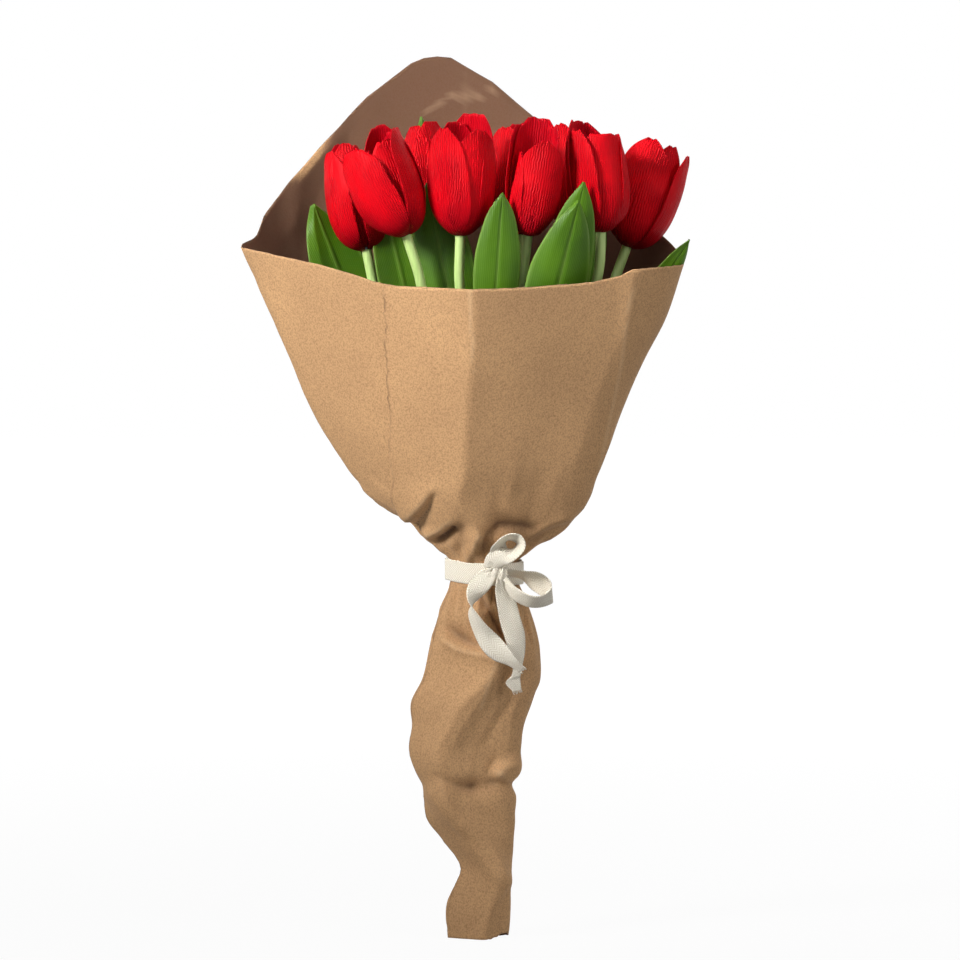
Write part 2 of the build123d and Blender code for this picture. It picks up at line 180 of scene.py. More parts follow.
# The rolled paper at each height: its left side, its right side and its depth.
PAPER_SECTIONS = (
    (-200.0, -20.5, 12.0, 19.2), (-182.5, -20.5, 14.0, 20.0), (-174.4, -18.4, 14.0, 21.0),
    (-159.3, -13.2, 14.6, 24.3), (-145.8, -22.1, 15.1, 27.0), (-132.8, -31.3, 16.2, 32.0),
    (-122.0, -31.9, 16.7, 37.5), (-113.9, -32.9, 14.6, 40.0), (-110.2, -35.1, 17.8, 40.0),
    (-96.1, -40.3, 19.0, 35.8), (-82.6, -38.9, 20.6, 36.5), (-70.7, -39.4, 25.0, 37.1),
    (-58.3, -33.5, 29.2, 37.1), (-42.1, -29.7, 29.4, 37.0), (-25.9, -26.3, 26.4, 34.5),
    (-12.0, -20.8, 21.0, 31.0), (-7.6, -19.3, 18.6, 29.6), (7.4, -19.3, 18.6, 29.6),
    (11.3, -23.6, 24.4, 37.8), (18.9, -33.0, 37.4, 48.0), (27.5, -41.2, 46.8, 56.7),
    (31.9, -50.2, 51.0, 60.0), (53.5, -72.0, 61.6, 75.0), (66.4, -81.0, 66.4, 82.0),
    (89.1, -94.0, 74.5, 92.0), (115.0, -105.0, 85.9, 103.3), (134.5, -113.4, 96.0, 111.0),
    (170.0, -129.0, 108.8, 126.0), (200.0, -142.0, 122.0, 141.0), (285.0, -178.0, 156.0, 186.5),
)

# The rolled paper's outline as shares of its half width and half depth: each crease is followed by the
# middle of the arc to the next. Left side, front crease, right front crease, right side, back.
PAPER_OUTLINE = (
    ((-1, 0), (-0.56, -0.58), (0.02, -1)),
    ((0.02, -1), (0.42, -0.79), (0.80, -0.52)),
    ((0.80, -0.52), (0.95, -0.28), (1, 0)),
    ((1, 0), (0.66, 0.74), (0, 1)),
    ((0, 1), (-0.66, 0.74), (-1, 0)),
)

# The paper's top edge by its place across, in front and round the standing corner at the back.
PAPER_RIM = (
    (-133.0, 175.5), (-113.0, 171.2), (-89.1, 166.3), (-73.0, 162.0), (-55.1, 156.1), (-45.4, 155.0),
    (-8.1, 153.4), (24.3, 154.4), (56.7, 157.1), (74.6, 160.9), (76.4, 163.6), (107.0, 165.8),
    (112.0, 165.8),
)
PAPER_PEAK = (
    (-133.3, 175.5), (-124.2, 180.4), (-119.8, 192.8), (-106.6, 211.1), (-89.6, 230.6), (-66.0, 256.5),
    (-41.4, 275.9), (-33.0, 279.2), (-24.3, 280.3), (-17.9, 279.0), (-9.2, 273.2), (5.4, 264.6),
    (29.7, 244.1), (95.6, 182.0), (104.8, 172.8), (107.0, 165.8), (112.0, 165.8),
)
# Where the upper layer's ragged edge lies between the left side and the front crease, by height.
PAPER_LAP = (
    (-200, 0.10), (-60, 0.06), (0, 0.08), (28, 0.13), (42, 0.30), (55, 0.439), (90, 0.582), (123, 0.609),
    (155, 0.645), (175, 0.67),
)
# Where the front crease runs, by height, as a share of the half width.
PAPER_RIDGE = (
    (-196, 0.20), (-186, 0.28), (-167, 0.55), (-146, 0.15), (-121, -0.55), (-108, -0.56), (-78, -0.25),
    (-47, 0.22), (-20, 0.10), (0, 0.05), (20, -0.16), (40, -0.19), (55, -0.08), (72, -0.03),
    (155, 0.03), (285, 0.02),
)

# The tape's loose strips, from the knot: the middle of the strip, then the way from its middle to its
# edge, whose length is the strip's share of the tape's half width.
KNOT = (7.0, -21.0, 0.5)
SIDE_LOOP = (
    (8.5, -20.5, 1.4, 0.00, -0.30, 0.40), (11.1, -20.0, 1.2, 0.00, -0.45, 0.42),
    (16.1, -18.5, 0.6, 0.07, -0.82, 0.40), (21.1, -17.2, -0.8, 0.14, -0.84, 0.46),
    (26.2, -16.6, -3.4, 0.28, -0.52, 0.80), (31.0, -17.6, -6.2, 0.20, -0.28, 0.93),
    (35.4, -21.0, -9.2, 0.00, -0.50, 0.86), (35.2, -25.4, -11.6, -0.12, -0.72, 0.65),
    (30.2, -28.0, -14.0, 0.00, -0.80, 0.57), (23.9, -28.5, -13.8, 0.10, -0.80, 0.58),
    (18.0, -27.0, -11.2, 0.20, -0.75, 0.56), (13.0, -24.0, -7.4, 0.27, -0.55, 0.50),
    (9.5, -21.5, -3.2, 0.30, -0.37, 0.37),
)
TOP_LOOP = (
    (3.7, -22.5, 4.0, 0.78, -0.16, -0.08), (5.7, -26.0, 7.9, 0.86, -0.35, -0.36),
    (9.3, -29.0, 10.6, 0.50, -0.40, -0.76), (14.4, -31.5, 11.4, 0.20, -0.87, -0.46),
    (18.0, -32.5, 14.1, 0.40, -0.91, -0.13), (19.2, -32.7, 17.4, 0.38, -0.92, 0.08),
    (17.2, -32.5, 20.2, 0.27, -0.90, 0.34), (13.4, -32.0, 20.9, 0.03, -0.94, 0.35),
    (10.0, -30.8, 19.5, -0.20, -0.95, 0.24), (8.2, -28.8, 17.0, -0.47, -0.88, 0.10),
    (7.8, -25.0, 12.8, -0.83, -0.52, 0.21), (6.8, -21.8, 7.0, -0.78, -0.16, 0.00),
)
LEFT_TAIL = (
    (3.5, -22.5, 1.0, 0.40, -0.30, -0.43), (0.6, -22.9, -1.3, 0.66, -0.25, -0.50),
    (-2.2, -24.2, -4.4, 0.88, -0.15, -0.40), (-4.8, -25.4, -8.7, 0.86, 0.30, -0.20),
    (-6.6, -26.0, -13.4, 0.45, 0.85, -0.05), (-7.1, -26.0, -17.0, -0.05, 1.00, 0.00),
    (-6.2, -26.0, -21.5, -0.45, 0.89, -0.07), (-2.6, -25.5, -29.0, -0.58, 0.70, -0.41),
    (2.8, -25.5, -36.4, -0.72, 0.15, -0.67), (8.1, -26.2, -41.7, -0.61, 0.40, -0.69),
    (14.2, -28.0, -46.2, -0.34, 0.60, -0.40), (19.6, -28.6, -50.4, -0.22, 0.36, -0.24),
)
RIGHT_TAIL = (
    (8.6, -22.5, -1.5, 0.42, 0.26, 0.00), (9.0, -22.8, -4.2, 0.56, 0.49, 0.08),
    (9.9, -23.2, -9.1, 0.74, 0.40, 0.14), (11.5, -23.0, -15.3, 0.86, 0.30, 0.20),
    (13.6, -22.4, -24.6, 0.93, 0.15, 0.25), (16.1, -22.0, -33.3, 0.90, 0.38, 0.20),
    (17.3, -22.3, -42.0, 0.70, 0.48, 0.07), (17.5, -22.8, -48.2, 0.46, 0.20, 0.00),
    (16.8, -23.0, -53.8, 0.41, 0.09, 0.00), (15.0, -22.5, -57.0, 0.66, 0.16, 0.22),
    (17.2, -22.0, -62.5, 0.40, 0.12, 0.06),
)

# The tape's turns round the neck: how far out of the neck they lie, their rise and their slow tilt.
TAPE_TURNS = ((1.2, 0.4, 0.0), (2.0, -0.3, 0.5))
NECK_HALF_WIDTH, NECK_HALF_DEPTH, NECK_X = 19.0, 14.8, -0.4
BAND_START, BAND_TURN, BAND_POINTS = 1.55, 5, 181

# How the turns hang: their height at the knot's side, their slope to the right and their sag in front.
BAND_HEIGHT, BAND_SLOPE, BAND_SAG = 1.0, 0.04, 0.11

# The turns of tape that make the knot: the middle, the reach outwards and along, the lean in radians and
# the share of the half width.
KNOT_TURNS = (
    ((7.6, -20.2, 0.2), (3.4, 5.2), 0.28, 0.72),
    ((4.4, -19.6, 1.6), (2.6, 4.2), 1.15, 0.6),
    ((9.6, -19.4, -1.0), (2.8, 4.4), -0.35, 0.5),
)

# A strip's points across and for each station of its table, and how much thinner its margins are.
RIBBON_POINTS, STATION_POINTS, THIN_SHARE = 13, 12, 0.3

# The points round a turn of the knot, and how much narrower it is where it turns back.
KNOT_POINTS, KNOT_PINCH = 73, 0.25

# Loose threads at the two cut ends: how many, a thread's share of the half width and its points, where it
# starts inside the tape, and how far it drifts and reaches, at least and at most.
LEFT_THREADS, RIGHT_THREADS = 5, 7
THREAD_SHARE, THREAD_POINTS, THREAD_START = 0.035, 9, -0.2
LEAST_THREAD, MOST_THREAD = (-0.4, 0.8), (0.4, 2.0)

# The gathers near the knot: how deep as a share of the half width, how far from the knot they reach, and
# the turn of their wave over half the width.
GATHER_SHARE, GATHER_REACH, GATHER_TURN = 0.28, 9, 7

# The length of tape before the first loose strip, from one strip to the next, and before the knot, in
# metres, which keeps the weave from repeating.
STRIP_START, STRIP_STEP, KNOT_START = 0.12, 0.07, 0.4

# The weave in metres: the width of a herringbone stripe and the pitch of its rows.
HERRINGBONE, TWILL_ROW = 0.0026, 0.0013

# Folds on the front of the paper: how far they stand out, how fast they fade, and their line seen from
# the front. A fold below zero is a valley.
FOLDS = (
    (2.0, 9.0, ((5.4, -47.5), (2.7, -58.0), (-14.0, -83.4), (-26.5, -108.6))),
    (-4.0, 5.0, ((-26.0, -109.0), (-13.0, -114.6), (-7.0, -115.3))),
    (-1.2, 4.0, ((-5.0, -115.5), (17.0, -112.5))),
    (3.4, 6.0, ((-25.0, -119.0), (-8.0, -142.0), (11.0, -167.5))),
    (1.6, 7.0, ((9.5, -167.5), (2.7, -182.0), (-2.0, -198.0))),
    (-5.2, 4.4, ((-27.0, -24.5), (-16.7, -32.5), (-4.5, -39.4))),
    (4.6, 3.2, ((-22.0, -36.0), (-13.0, -41.0), (5.4, -44.5))),
    (-2.4, 3.0, ((5.0, -102.0), (2.5, -107.0), (4.5, -112.0))),
    (3.6, 2.4, ((20.0, -103.5), (12.0, -105.0), (7.5, -107.5))),
    (3.2, 2.4, ((7.5, -109.5), (12.0, -112.0), (18.0, -112.0))),
    (1.8, 4.0, ((18.0, -20.0), (23.0, -36.0), (26.0, -44.0))),
    (-2.6, 2.2, ((21.5, -26.0), (24.0, -33.0), (26.0, -41.0))),
    (-5.0, 2.6, ((-2.5, -13.0), (4.5, -23.5), (11.5, -35.0))),
    (2.4, 3.2, ((-0.5, -10.0), (8.0, -22.0), (13.0, -32.0))),
    (1.4, 4.0, ((78.5, 160.0), (72.9, 111.8), (61.0, 54.0))),
    (3.6, 4.5, ((-42.0, 31.0), (-34.5, 38.0), (-27.8, 45.2))),
    (-3.4, 3.2, ((-36.0, 27.0), (-30.0, 35.0), (-27.5, 43.0))),
    (4.0, 3.5, ((-31.0, 21.0), (-24.0, 24.5), (-18.5, 28.0))),
    (-6.5, 2.2, ((-26.0, 17.5), (-21.5, 20.5), (-18.0, 24.5))),
    (3.6, 3.2, ((-3.1, 21.0), (-5.4, 15.0), (-9.0, 7.0))),
    (-2.2, 4.0, ((-13.0, 24.0), (-12.0, 16.0), (-13.0, 8.0))),
    (-4.8, 4.6, ((-2.0, 13.0), (1.0, 21.0), (8.0, 27.0), (20.0, 25.5), (27.0, 23.0))),
    (2.4, 3.5, ((28.6, 22.0), (36.0, 26.0), (45.0, 29.6))),
    (-2.4, 4.5, ((24.0, 15.0), (32.0, 19.0), (42.0, 24.0))),
)
# The same on the standing corner at the back, whose inside is seen.
CORNER_FOLDS = (
    (-1.0, 4.0, ((-31.0, 250.0), (-17.4, 259.0), (-5.0, 256.5), (9.0, 264.0))),
    (-1.2, 4.0, ((-84.0, 232.0), (-102.0, 210.0), (-105.0, 186.0))),
    (1.0, 5.0, ((-76.0, 236.0), (-90.0, 206.0), (-94.0, 180.0))),
)

# Creases on the front that are paler, partly from rubbed wear and partly as painted highlight on the
# ridges.
WORN_AND_HIGHLIT_LINES = (
    ((78.5, 158.0), (72.9, 111.8), (66.0, 78.0), (61.0, 54.0)),
    ((-8.6, 155.0), (-6.0, 110.0)),
    ((5.0, -49.0), (-2.0, -72.0)),
)

# The paper's mesh: the foot and the rise that the lap's line is spread over, and the heights searched for
# the top edge with their number.
SHEET_FOOT, SHEET_RISE = -198, 360
TOP_LOWEST, TOP_HIGHEST, TOP_STEPS = 120, 284, 500

# The first of the outline's arcs that lie at the back.
FIRST_BACK_ARC = 3

# The ragged edge: how far it wavers, as a share of an arc, and the length of its nicks.
RAG_SHARE, RAG_LENGTH = 0.009, 1.9

# The sleeve's cut end: its height, its slow sway and its small nicks.
CUT_HEIGHT, CUT_SWAY, CUT_NICKS = -197.5, 1.6, 0.5

# A fold's line is rounded off: the square of its rounding, and what takes the distance back to nothing.
ROUNDING_SQUARED, ROUNDING = 0.5, 0.7

# Over this depth the front folds give way to the back ones at the sides.
SIDE_FADE = 6

# Under the tape the paper is smooth. Pleats are as many as this for each radian round the tie, and fade
# above it and below it over these lengths.
TIE_REACH = 9.5
PLEAT_COUNT = 2.9
PLEAT_FADE_ABOVE, PLEAT_FADE_BELOW = 15, 34

# Facets of crumpled paper: their width and height, the slope they lie on as its cosine and sine, their
# sway, how strong the smaller ones are and how many go into one, and how strong all are at each height.
FACET_WIDTH, FACET_HEIGHT = 17, 23
FACET_COSINE, FACET_SINE = 0.8, 0.6
FACET_SWAY, SWAY_LENGTH = 0.7, 40
SMALL_FACETS, SMALL_ACROSS, SMALL_UP = 0.55, 2.3, 2.1
FACET_STRENGTHS = (
    (-200, 0.5), (-120, 0.45), (-20, 0.5), (8, 0.7), (30, 0.5), (60, 0.2), (110, 0.05), (280, 0.4),
)

# The lap's ends, as shares of the sheet's columns: where the upper layer starts to lift and over how much
# it does, and how far the under layer sinks as a share of the gap.
LAP_LIFT_SHARE, LAP_BLEND_SHARE, LAP_SINK_SHARE = 0.72, 0.12, 0.4

# Wear and painted highlight: the bend that makes paper pale, then how strong and how broad the paleness is
# on the outline's creases (in shares of an arc), along the worn and highlit lines and on the standing
# corner's first fold.
FULL_BEND = 2.0
CREASE_WEAR_AND_HIGHLIGHT, CREASE_BREADTH = 0.5, 0.012
LINE_WEAR_AND_HIGHLIGHT, LINE_BREADTH = 0.8, 0.8
CORNER_WEAR_AND_HIGHLIGHT, CORNER_BREADTH = 0.6, 2.0

# Dark marks: their strength, their breadth on the ragged edge, which is darkened by torn fibres and by a
# painted shadow under the upper layer, and the depth of valley that is painted fully in shade.
TORN_SHADE, TORN_BREADTH, FULL_SHADE_VALLEY = 0.8, 0.45, 4.6

# The strip of the standing corner's left edge that is turned over: its width, its right and lowest ends,
# and the lengths over which it starts.
TURNED_WIDTH, TURNED_START = 5.5, 1.2
TURNED_RIGHT, TURNED_LOW = (-86, 3), (210, 5)

# The stage, in metres: the floor's half side and its gap below the bouquet, each lamp's place and size,
# and the points that the lamps and the camera look at.
FLOOR_REACH, FLOOR_GAP = 6.0, 0.0005
LAMPS = {
    "key": ((-1.0, -0.82, 0.72), 0.45),
    "fill": ((1.5, -1.15, 0.6), 0.9),
    "top": ((0.25, -0.5, 1.25), 0.9),
    "back": ((0.6, 1.7, 0.9), 1.2),
}
LAMP_AIM = (0, 0, 0.19)
VIEW_AIM = (-0.0027, 0.0, 0.0497)

# The camera's sensor in millimetres, and how far it sees in metres.
SENSOR_WIDTH, VIEW_END = 36, 50


def srgb(red, green, blue):
    """A screen colour of 0 to 255 as the linear colour that materials take."""
    return tuple(((c / 255 + 0.055) / 1.055) ** 2.4 if c > 10 else c / 3295 for c in (red, green, blue))


class StageSettings(bpy.types.PropertyGroup):
    camera_distance: FloatProperty(
        name="Camera distance", description="From the lens to the tie", default=3.0, unit="LENGTH")
    camera_rise: FloatProperty(
        name="Camera rise", description="Elevation of the camera", default=math.radians(3),
        subtype="ANGLE")
    view_width: FloatProperty(
        name="View width", description="Width of the view at the tie", default=0.5184, unit="LENGTH")
    key_power: FloatProperty(
        name="Key light", description="Power of the light from the upper left", default=1.15,
        subtype="POWER")
    key_spread: FloatProperty(
        name="Key spread", description="Width of the key light's beam", default=math.radians(28),
        subtype="ANGLE")
    fill_power: FloatProperty(
        name="Fill light", description="Power of the light from the right", default=0.7, subtype="POWER")
    fill_spread: FloatProperty(
        name="Fill spread", description="Width of the fill light's beam", default=math.pi / 4,
        subtype="ANGLE")
    top_power: FloatProperty(
        name="Top light", description="Power of the light from above", default=3.6, subtype="POWER")
    back_power: FloatProperty(
        name="Back light", description="Power of the light from behind", default=5, subtype="POWER")
    world_strength: FloatProperty(
        name="World light", description="Strength of the plain surroundings", default=0.22)
    floor_color: FloatVectorProperty(
        name="Floor", description="Colour of the floor", default=srgb(190, 190, 190), subtype="COLOR")
    floor_cloud_color: FloatVectorProperty(
        name="Floor clouds", description="Colour of the floor's faint clouds", default=srgb(182, 182, 182),
        subtype="COLOR")


class PaperSettings(bpy.types.PropertyGroup):
    thickness: FloatProperty(
        name="Thickness", description="Thickness of the kraft paper", default=0.0004, unit="LENGTH")
    rows: IntProperty(name="Rows", description="Mesh rows up the paper", default=236)
    arc_columns: IntProperty(
        name="Columns", description="Mesh columns on each arc between creases", default=34)
    lap_share: FloatProperty(
        name="Lap", description="How far the under layer runs on beneath the upper one", default=0.9)
    lap_gap: FloatProperty(
        name="Lap gap", description="Gap between the two layers", default=0.0016, unit="LENGTH")
    pleat_depth: FloatProperty(
        name="Pleats", description="Depth of the pleats at the tie", default=0.0022, unit="LENGTH")
    crumple_depth: FloatProperty(
        name="Crumple", description="Depth of the crumpled facets", default=0.0017, unit="LENGTH")
    outside_color: FloatVectorProperty(
        name="Outside", description="Colour of the outside", default=srgb(209, 165, 118), subtype="COLOR")
    inside_color: FloatVectorProperty(
        name="Inside", description="Colour of the inside", default=srgb(112, 80, 61), subtype="COLOR")
    cloud_color: FloatVectorProperty(
        name="Clouds", description="Colour of the faint clouds", default=srgb(120, 88, 62),
        subtype="COLOR")
    fleck_color: FloatVectorProperty(
        name="Flecks", description="Colour of the fibre flecks", default=srgb(104, 70, 46),
        subtype="COLOR")
    # Colour of rubbed creases, and of the painted highlights along the ridges.
    wear_and_highlight_color: FloatVectorProperty(
        name="Worn creases", description="Colour of rubbed creases", default=srgb(226, 192, 152),
        subtype="COLOR")
    # Colour of the torn edge and its painted shadow, and of the painted shade deep in the valleys.
    torn_and_shade_color: FloatVectorProperty(
        name="Torn edge", description="Colour of the torn edge", default=srgb(96, 66, 46), subtype="COLOR")


class PetalSettings(bpy.types.PropertyGroup):
    half_width: FloatProperty(
        name="Half width", description="Half of a petal's widest place", default=0.0165, unit="LENGTH")
    belly_radius: FloatProperty(
        name="Belly", description="Radius of the head's belly", default=0.0160, unit="LENGTH")
    mouth_radius: FloatProperty(
        name="Mouth", description="Radius at the petal tips", default=0.0095, unit="LENGTH")
    thickness: FloatProperty(
        name="Thickness", description="Thickness of the cloth", default=0.0005, unit="LENGTH")
    color: FloatVectorProperty(
        name="Red", description="Colour of the cloth", default=srgb(222, 2, 20), subtype="COLOR")
    # Colour of the painted shade near the foot, also mixed in as faint clouds.
    foot_shade_and_cloud_color: FloatVectorProperty(
        name="Base", description="Colour near the foot", default=srgb(110, 4, 20), subtype="COLOR")
    vein_color: FloatVectorProperty(
        name="Veins", description="Colour between the veins", default=srgb(96, 0, 12), subtype="COLOR")
    back_color: FloatVectorProperty(
        name="Back", description="Colour mixed in on the inner side", default=srgb(150, 10, 40),
        subtype="COLOR")


class LeafSettings(bpy.types.PropertyGroup):
    width: FloatProperty(
        name="Width", description="Width of the widest leaf", default=0.036, unit="LENGTH")
    thickness: FloatProperty(
        name="Thickness", description="Thickness of the blade", default=0.0006, unit="LENGTH")
    color: FloatVectorProperty(
        name="Green", description="Colour of the leaves", default=srgb(78, 120, 12), subtype="COLOR")
    light_color: FloatVectorProperty(
        name="Light green", description="Colour of midribs and margins", default=srgb(132, 164, 74),
        subtype="COLOR")
    dark_color: FloatVectorProperty(
        name="Dark green", description="Colour of the darker clouds", default=srgb(40, 76, 8),
        subtype="COLOR")


class StemSettings(bpy.types.PropertyGroup):
    color: FloatVectorProperty(
        name="Green", description="Colour of the stems", default=srgb(200, 226, 142), subtype="COLOR")
    streak_color: FloatVectorProperty(
        name="Streaks", description="Colour of the stems' streaks", default=srgb(146, 182, 96),
        subtype="COLOR")
    pistil_color: FloatVectorProperty(
        name="Pistil", description="Colour of the pistils", default=srgb(196, 200, 96), subtype="COLOR")
    powder_color: FloatVectorProperty(
        name="Powder", description="Colour of the pistils' powder", default=srgb(120, 132, 44),
        subtype="COLOR")
    steel_color: FloatVectorProperty(
        name="Steel", description="Colour of the wires", default=srgb(150, 150, 154), subtype="COLOR")


class TapeSettings(bpy.types.PropertyGroup):
    width: FloatProperty(
        name="Width", description="Width of the cotton tape", default=0.0116, unit="LENGTH")
    thickness: FloatProperty(
        name="Thickness", description="Thickness of the tape", default=0.0007, unit="LENGTH")
    color: FloatVectorProperty(
        name="Cotton", description="Colour of the tape", default=srgb(255, 250, 235), subtype="COLOR")
    # Colour of the painted shade in the grooves between the twill rows.
    groove_shade_color: FloatVectorProperty(
        name="Grooves", description="Colour between the twill rows", default=srgb(190, 168, 136),
        subtype="COLOR")
    fuzz_color: FloatVectorProperty(
        name="Fuzz", description="Colour of the fuzz's shade", default=srgb(200, 180, 146),
        subtype="COLOR")


def flow(at, stations, values):
    """Smooth curve through stations: on each span a cubic that starts and ends along the slope between
    the neighbouring stations."""
    stations = np.asarray(stations, float)
    values = np.asarray(values, float)
    slopes = np.gradient(values, stations, axis=0)
    at = np.clip(at, stations[0], stations[-1])
    span = np.clip(np.searchsorted(stations, at, side="right") - 1, 0, len(stations) - 2)
    width = stations[span + 1] - stations[span]
    t = (at - stations[span]) / width
    if values.ndim > 1:
        t, width = t[..., None], width[..., None]
    return (
        values[span] * (2 * t**3 - 3 * t**2 + 1)
        + slopes[span] * width * (t**3 - 2 * t**2 + t)
        + values[span + 1] * (3 * t**2 - 2 * t**3)
        + slopes[span + 1] * width * (t**3 - t**2)
    )


def waves(x, y, seed, creased=False):
    """Random heights from -1 to 1 at whole numbers of x and y, joined by smooth slopes, or by flat
    triangles as in creased paper."""
    size = 64
    heights = np.random.default_rng(seed).uniform(-1, 1, (size, size))
    i, j = np.floor(x).astype(int), np.floor(y).astype(int)
    s, t = x - i, y - j
    low, right = heights[i % size, j % size], heights[(i + 1) % size, j % size]
    up, far = heights[i % size, (j + 1) % size], heights[(i + 1) % size, (j + 1) % size]
    if creased:
        by_right = low + s * (right - low) + t * (far - right)
        by_up = low + t * (up - low) + s * (far - up)
        return np.where(s >= t, by_right, by_up)
    s, t = s * s * (3 - 2 * s), t * t * (3 - 2 * t)
    return (low * (1 - s) + right * s) * (1 - t) + (up * (1 - s) + far * s) * t


def ramped(values, start, span):
    """0 up to the start, 1 past the span, and a straight rise between them."""
    return np.clip((values - start) / span, 0, 1)


def bell(values, breadth):
    """1 where values are 0, falling off as a bell of this breadth."""
    return np.exp(-((values / breadth) ** 2))


def unit(vectors):
    """Vectors of length 1 that point the same way."""
    return vectors / np.maximum(np.linalg.norm(vectors, axis=-1, keepdims=True), 1e-12)


def grid_normals(points):
    """Unit normals of a grid of points: the cross product of its two directions."""
    return unit(np.cross(np.gradient(points, axis=1), np.gradient(points, axis=0)))


def shell(points, thickness, uv, **fields):
    """A thin sheet from a grid of points: the grid moved half the thickness out along its normals, the
    same moved in and facing the other way, and a strip that closes the edge. Fields are numbers on the
    grid, and the field back is 1 on the inner side."""
    rows, columns, _ = points.shape
    step = grid_normals(points) * np.broadcast_to(np.asarray(thickness)[..., None], points.shape) / 2
    vertices = np.concatenate([(points + step).reshape(-1, 3), (points - step).reshape(-1, 3)])
    index = np.arange(rows * columns).reshape(rows, columns)
    near = np.stack([index[:-1, :-1], index[:-1, 1:], index[1:, 1:], index[1:, :-1]], -1).reshape(-1, 4)
    edge = np.concatenate([index[0, :-1], index[:-1, -1], index[-1, :0:-1], index[:0:-1, 0]])
    after = np.roll(edge, -1)
    count = rows * columns
    rim = np.stack([edge, edge + count, after + count, after], -1)
    made = {"vertices": vertices, "quads": np.concatenate([near, near[:, ::-1] + count, rim])}
    made["uv"] = np.concatenate([uv.reshape(-1, 2)] * 2)
    made["back"] = np.repeat([0.0, 1.0], count)
    for name, values in fields.items():
        made[name] = np.concatenate([np.broadcast_to(values, (rows, columns)).reshape(-1)] * 2)
    return made


def joined(parts):
    """Several shells as one mesh."""
    offsets = np.cumsum([0] + [len(part["vertices"]) for part in parts[:-1]])
    made = {name: np.concatenate([part[name] for part in parts]) for name in parts[0] if name != "quads"}
    made["quads"] = np.concatenate([part["quads"] + offset for part, offset in zip(parts, offsets)])
    return made


def make_piece(name, form, material, body, slot, *nodes):
    """Puts the arrays of a form into a mesh object that rides on a body and stands for CAD nodes."""
    mesh = bpy.data.meshes.new(name)
    quads = form["quads"]
    mesh.vertices.add(len(form["vertices"]))
    mesh.vertices.foreach_set("co", form["vertices"].astype(np.float32).ravel())
    mesh.loops.add(quads.size)
    mesh.loops.foreach_set("vertex_index", quads.astype(np.int32).ravel())
    mesh.polygons.add(len(quads))
    mesh.polygons.foreach_set("loop_start", np.arange(0, quads.size, 4, dtype=np.int32))
    mesh.polygons.foreach_set("loop_total", np.full(len(quads), 4, np.int32))
    mesh.polygons.foreach_set("use_smooth", np.ones(len(quads), bool))
    corners = form["uv"][quads.ravel()].astype(np.float32)
    mesh.uv_layers.new(name="cloth").data.foreach_set("uv", corners.ravel())
    for field, values in form.items():
        if field not in ("vertices", "quads", "uv"):
            layer = mesh.attributes.new(field, "FLOAT", "POINT")
            layer.data.foreach_set("value", values.astype(np.float32))
    mesh.update(calc_edges=True)
    mesh.materials.append(material)
    piece = bpy.data.objects.new(name, mesh)
    bpy.context.scene.collection.objects.link(piece)
    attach(piece, body)
    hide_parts(*nodes)
    return piece


class Finish:
    """A material and short calls that add and link its nodes."""

    def __init__(self, name, color, roughness):
        self.material = bpy.data.materials.new(name)
        self.material.use_nodes = True
        self.tree = self.material.node_tree
        self.shader = self.tree.nodes["Principled BSDF"]
        self.shader.inputs["Base Color"].default_value = (*color, 1)
        self.shader.inputs["Roughness"].default_value = roughness

    def node(self, kind, output, inputs=(), **settings):
        """Adds a node, sets or links its inputs, and returns one of its outputs."""
        made = self.tree.nodes.new(kind)
        for name, value in settings.items():
            setattr(made, name, value)
        for key, value in dict(inputs).items():
            if isinstance(value, bpy.types.NodeSocket):
                self.tree.links.new(value, made.inputs[key])
            else:
                made.inputs[key].default_value = value
        return made.outputs[output]

    def place(self, source="Object"):
        """Places on the piece, or on its own pattern with the source UV."""
        return self.node("ShaderNodeTexCoord", source)

    def field(self, name):
        """A number that the mesh carries under this name."""
        return self.node("ShaderNodeAttribute", "Fac", attribute_name=name)

    def scaled(self, vector, scale):
        """Places stretched by a scale of less than 1 along an axis."""
        return self.node("ShaderNodeMapping", "Vector", {"Vector": vector, "Scale": scale})

    def noise(self, vector, scale, detail=4.0, roughness=0.5):
        """Soft random clouds from 0 to 1, as many a metre as the scale."""
        inputs = {"Vector": vector, "Scale": scale, "Detail": detail, "Roughness": roughness}
        return self.node("ShaderNodeTexNoise", "Fac", inputs)

    def ramp(self, value, low, high, to_low=0.0, to_high=1.0):
        """A value's range from low to high stretched to another range, and held at its ends."""
        inputs = {"Value": value, "From Min": low, "From Max": high, "To Min": to_low, "To Max": to_high}
        return self.node("ShaderNodeMapRange", "Result", inputs)

    def math(self, operation, first, second=0.0):
        return self.node("ShaderNodeMath", "Value", {0: first, 1: second}, operation=operation)

    def mix(self, share, first, second):
        """The first colour with a share of the second."""
        def color(value):
            return value if isinstance(value, bpy.types.NodeSocket) else (*value[:3], 1)

        inputs = {0: share, 6: color(first), 7: color(second)}
        return self.node("ShaderNodeMix", 2, inputs, data_type="RGBA")

    def bump(self, height, distance, strength, normal=None):
        """A relief of this distance in metres, on top of another one if its normal is given."""
        inputs = {"Height": height, "Distance": distance, "Strength": strength}
        if normal:
            inputs["Normal"] = normal
        return self.node("ShaderNodeBump", "Normal", inputs)

    def put(self, socket, value):
        """Sets or links an input of the surface."""
        if isinstance(value, bpy.types.NodeSocket):
            self.tree.links.new(value, self.shader.inputs[socket])
        else:
            self.shader.inputs[socket].default_value = value


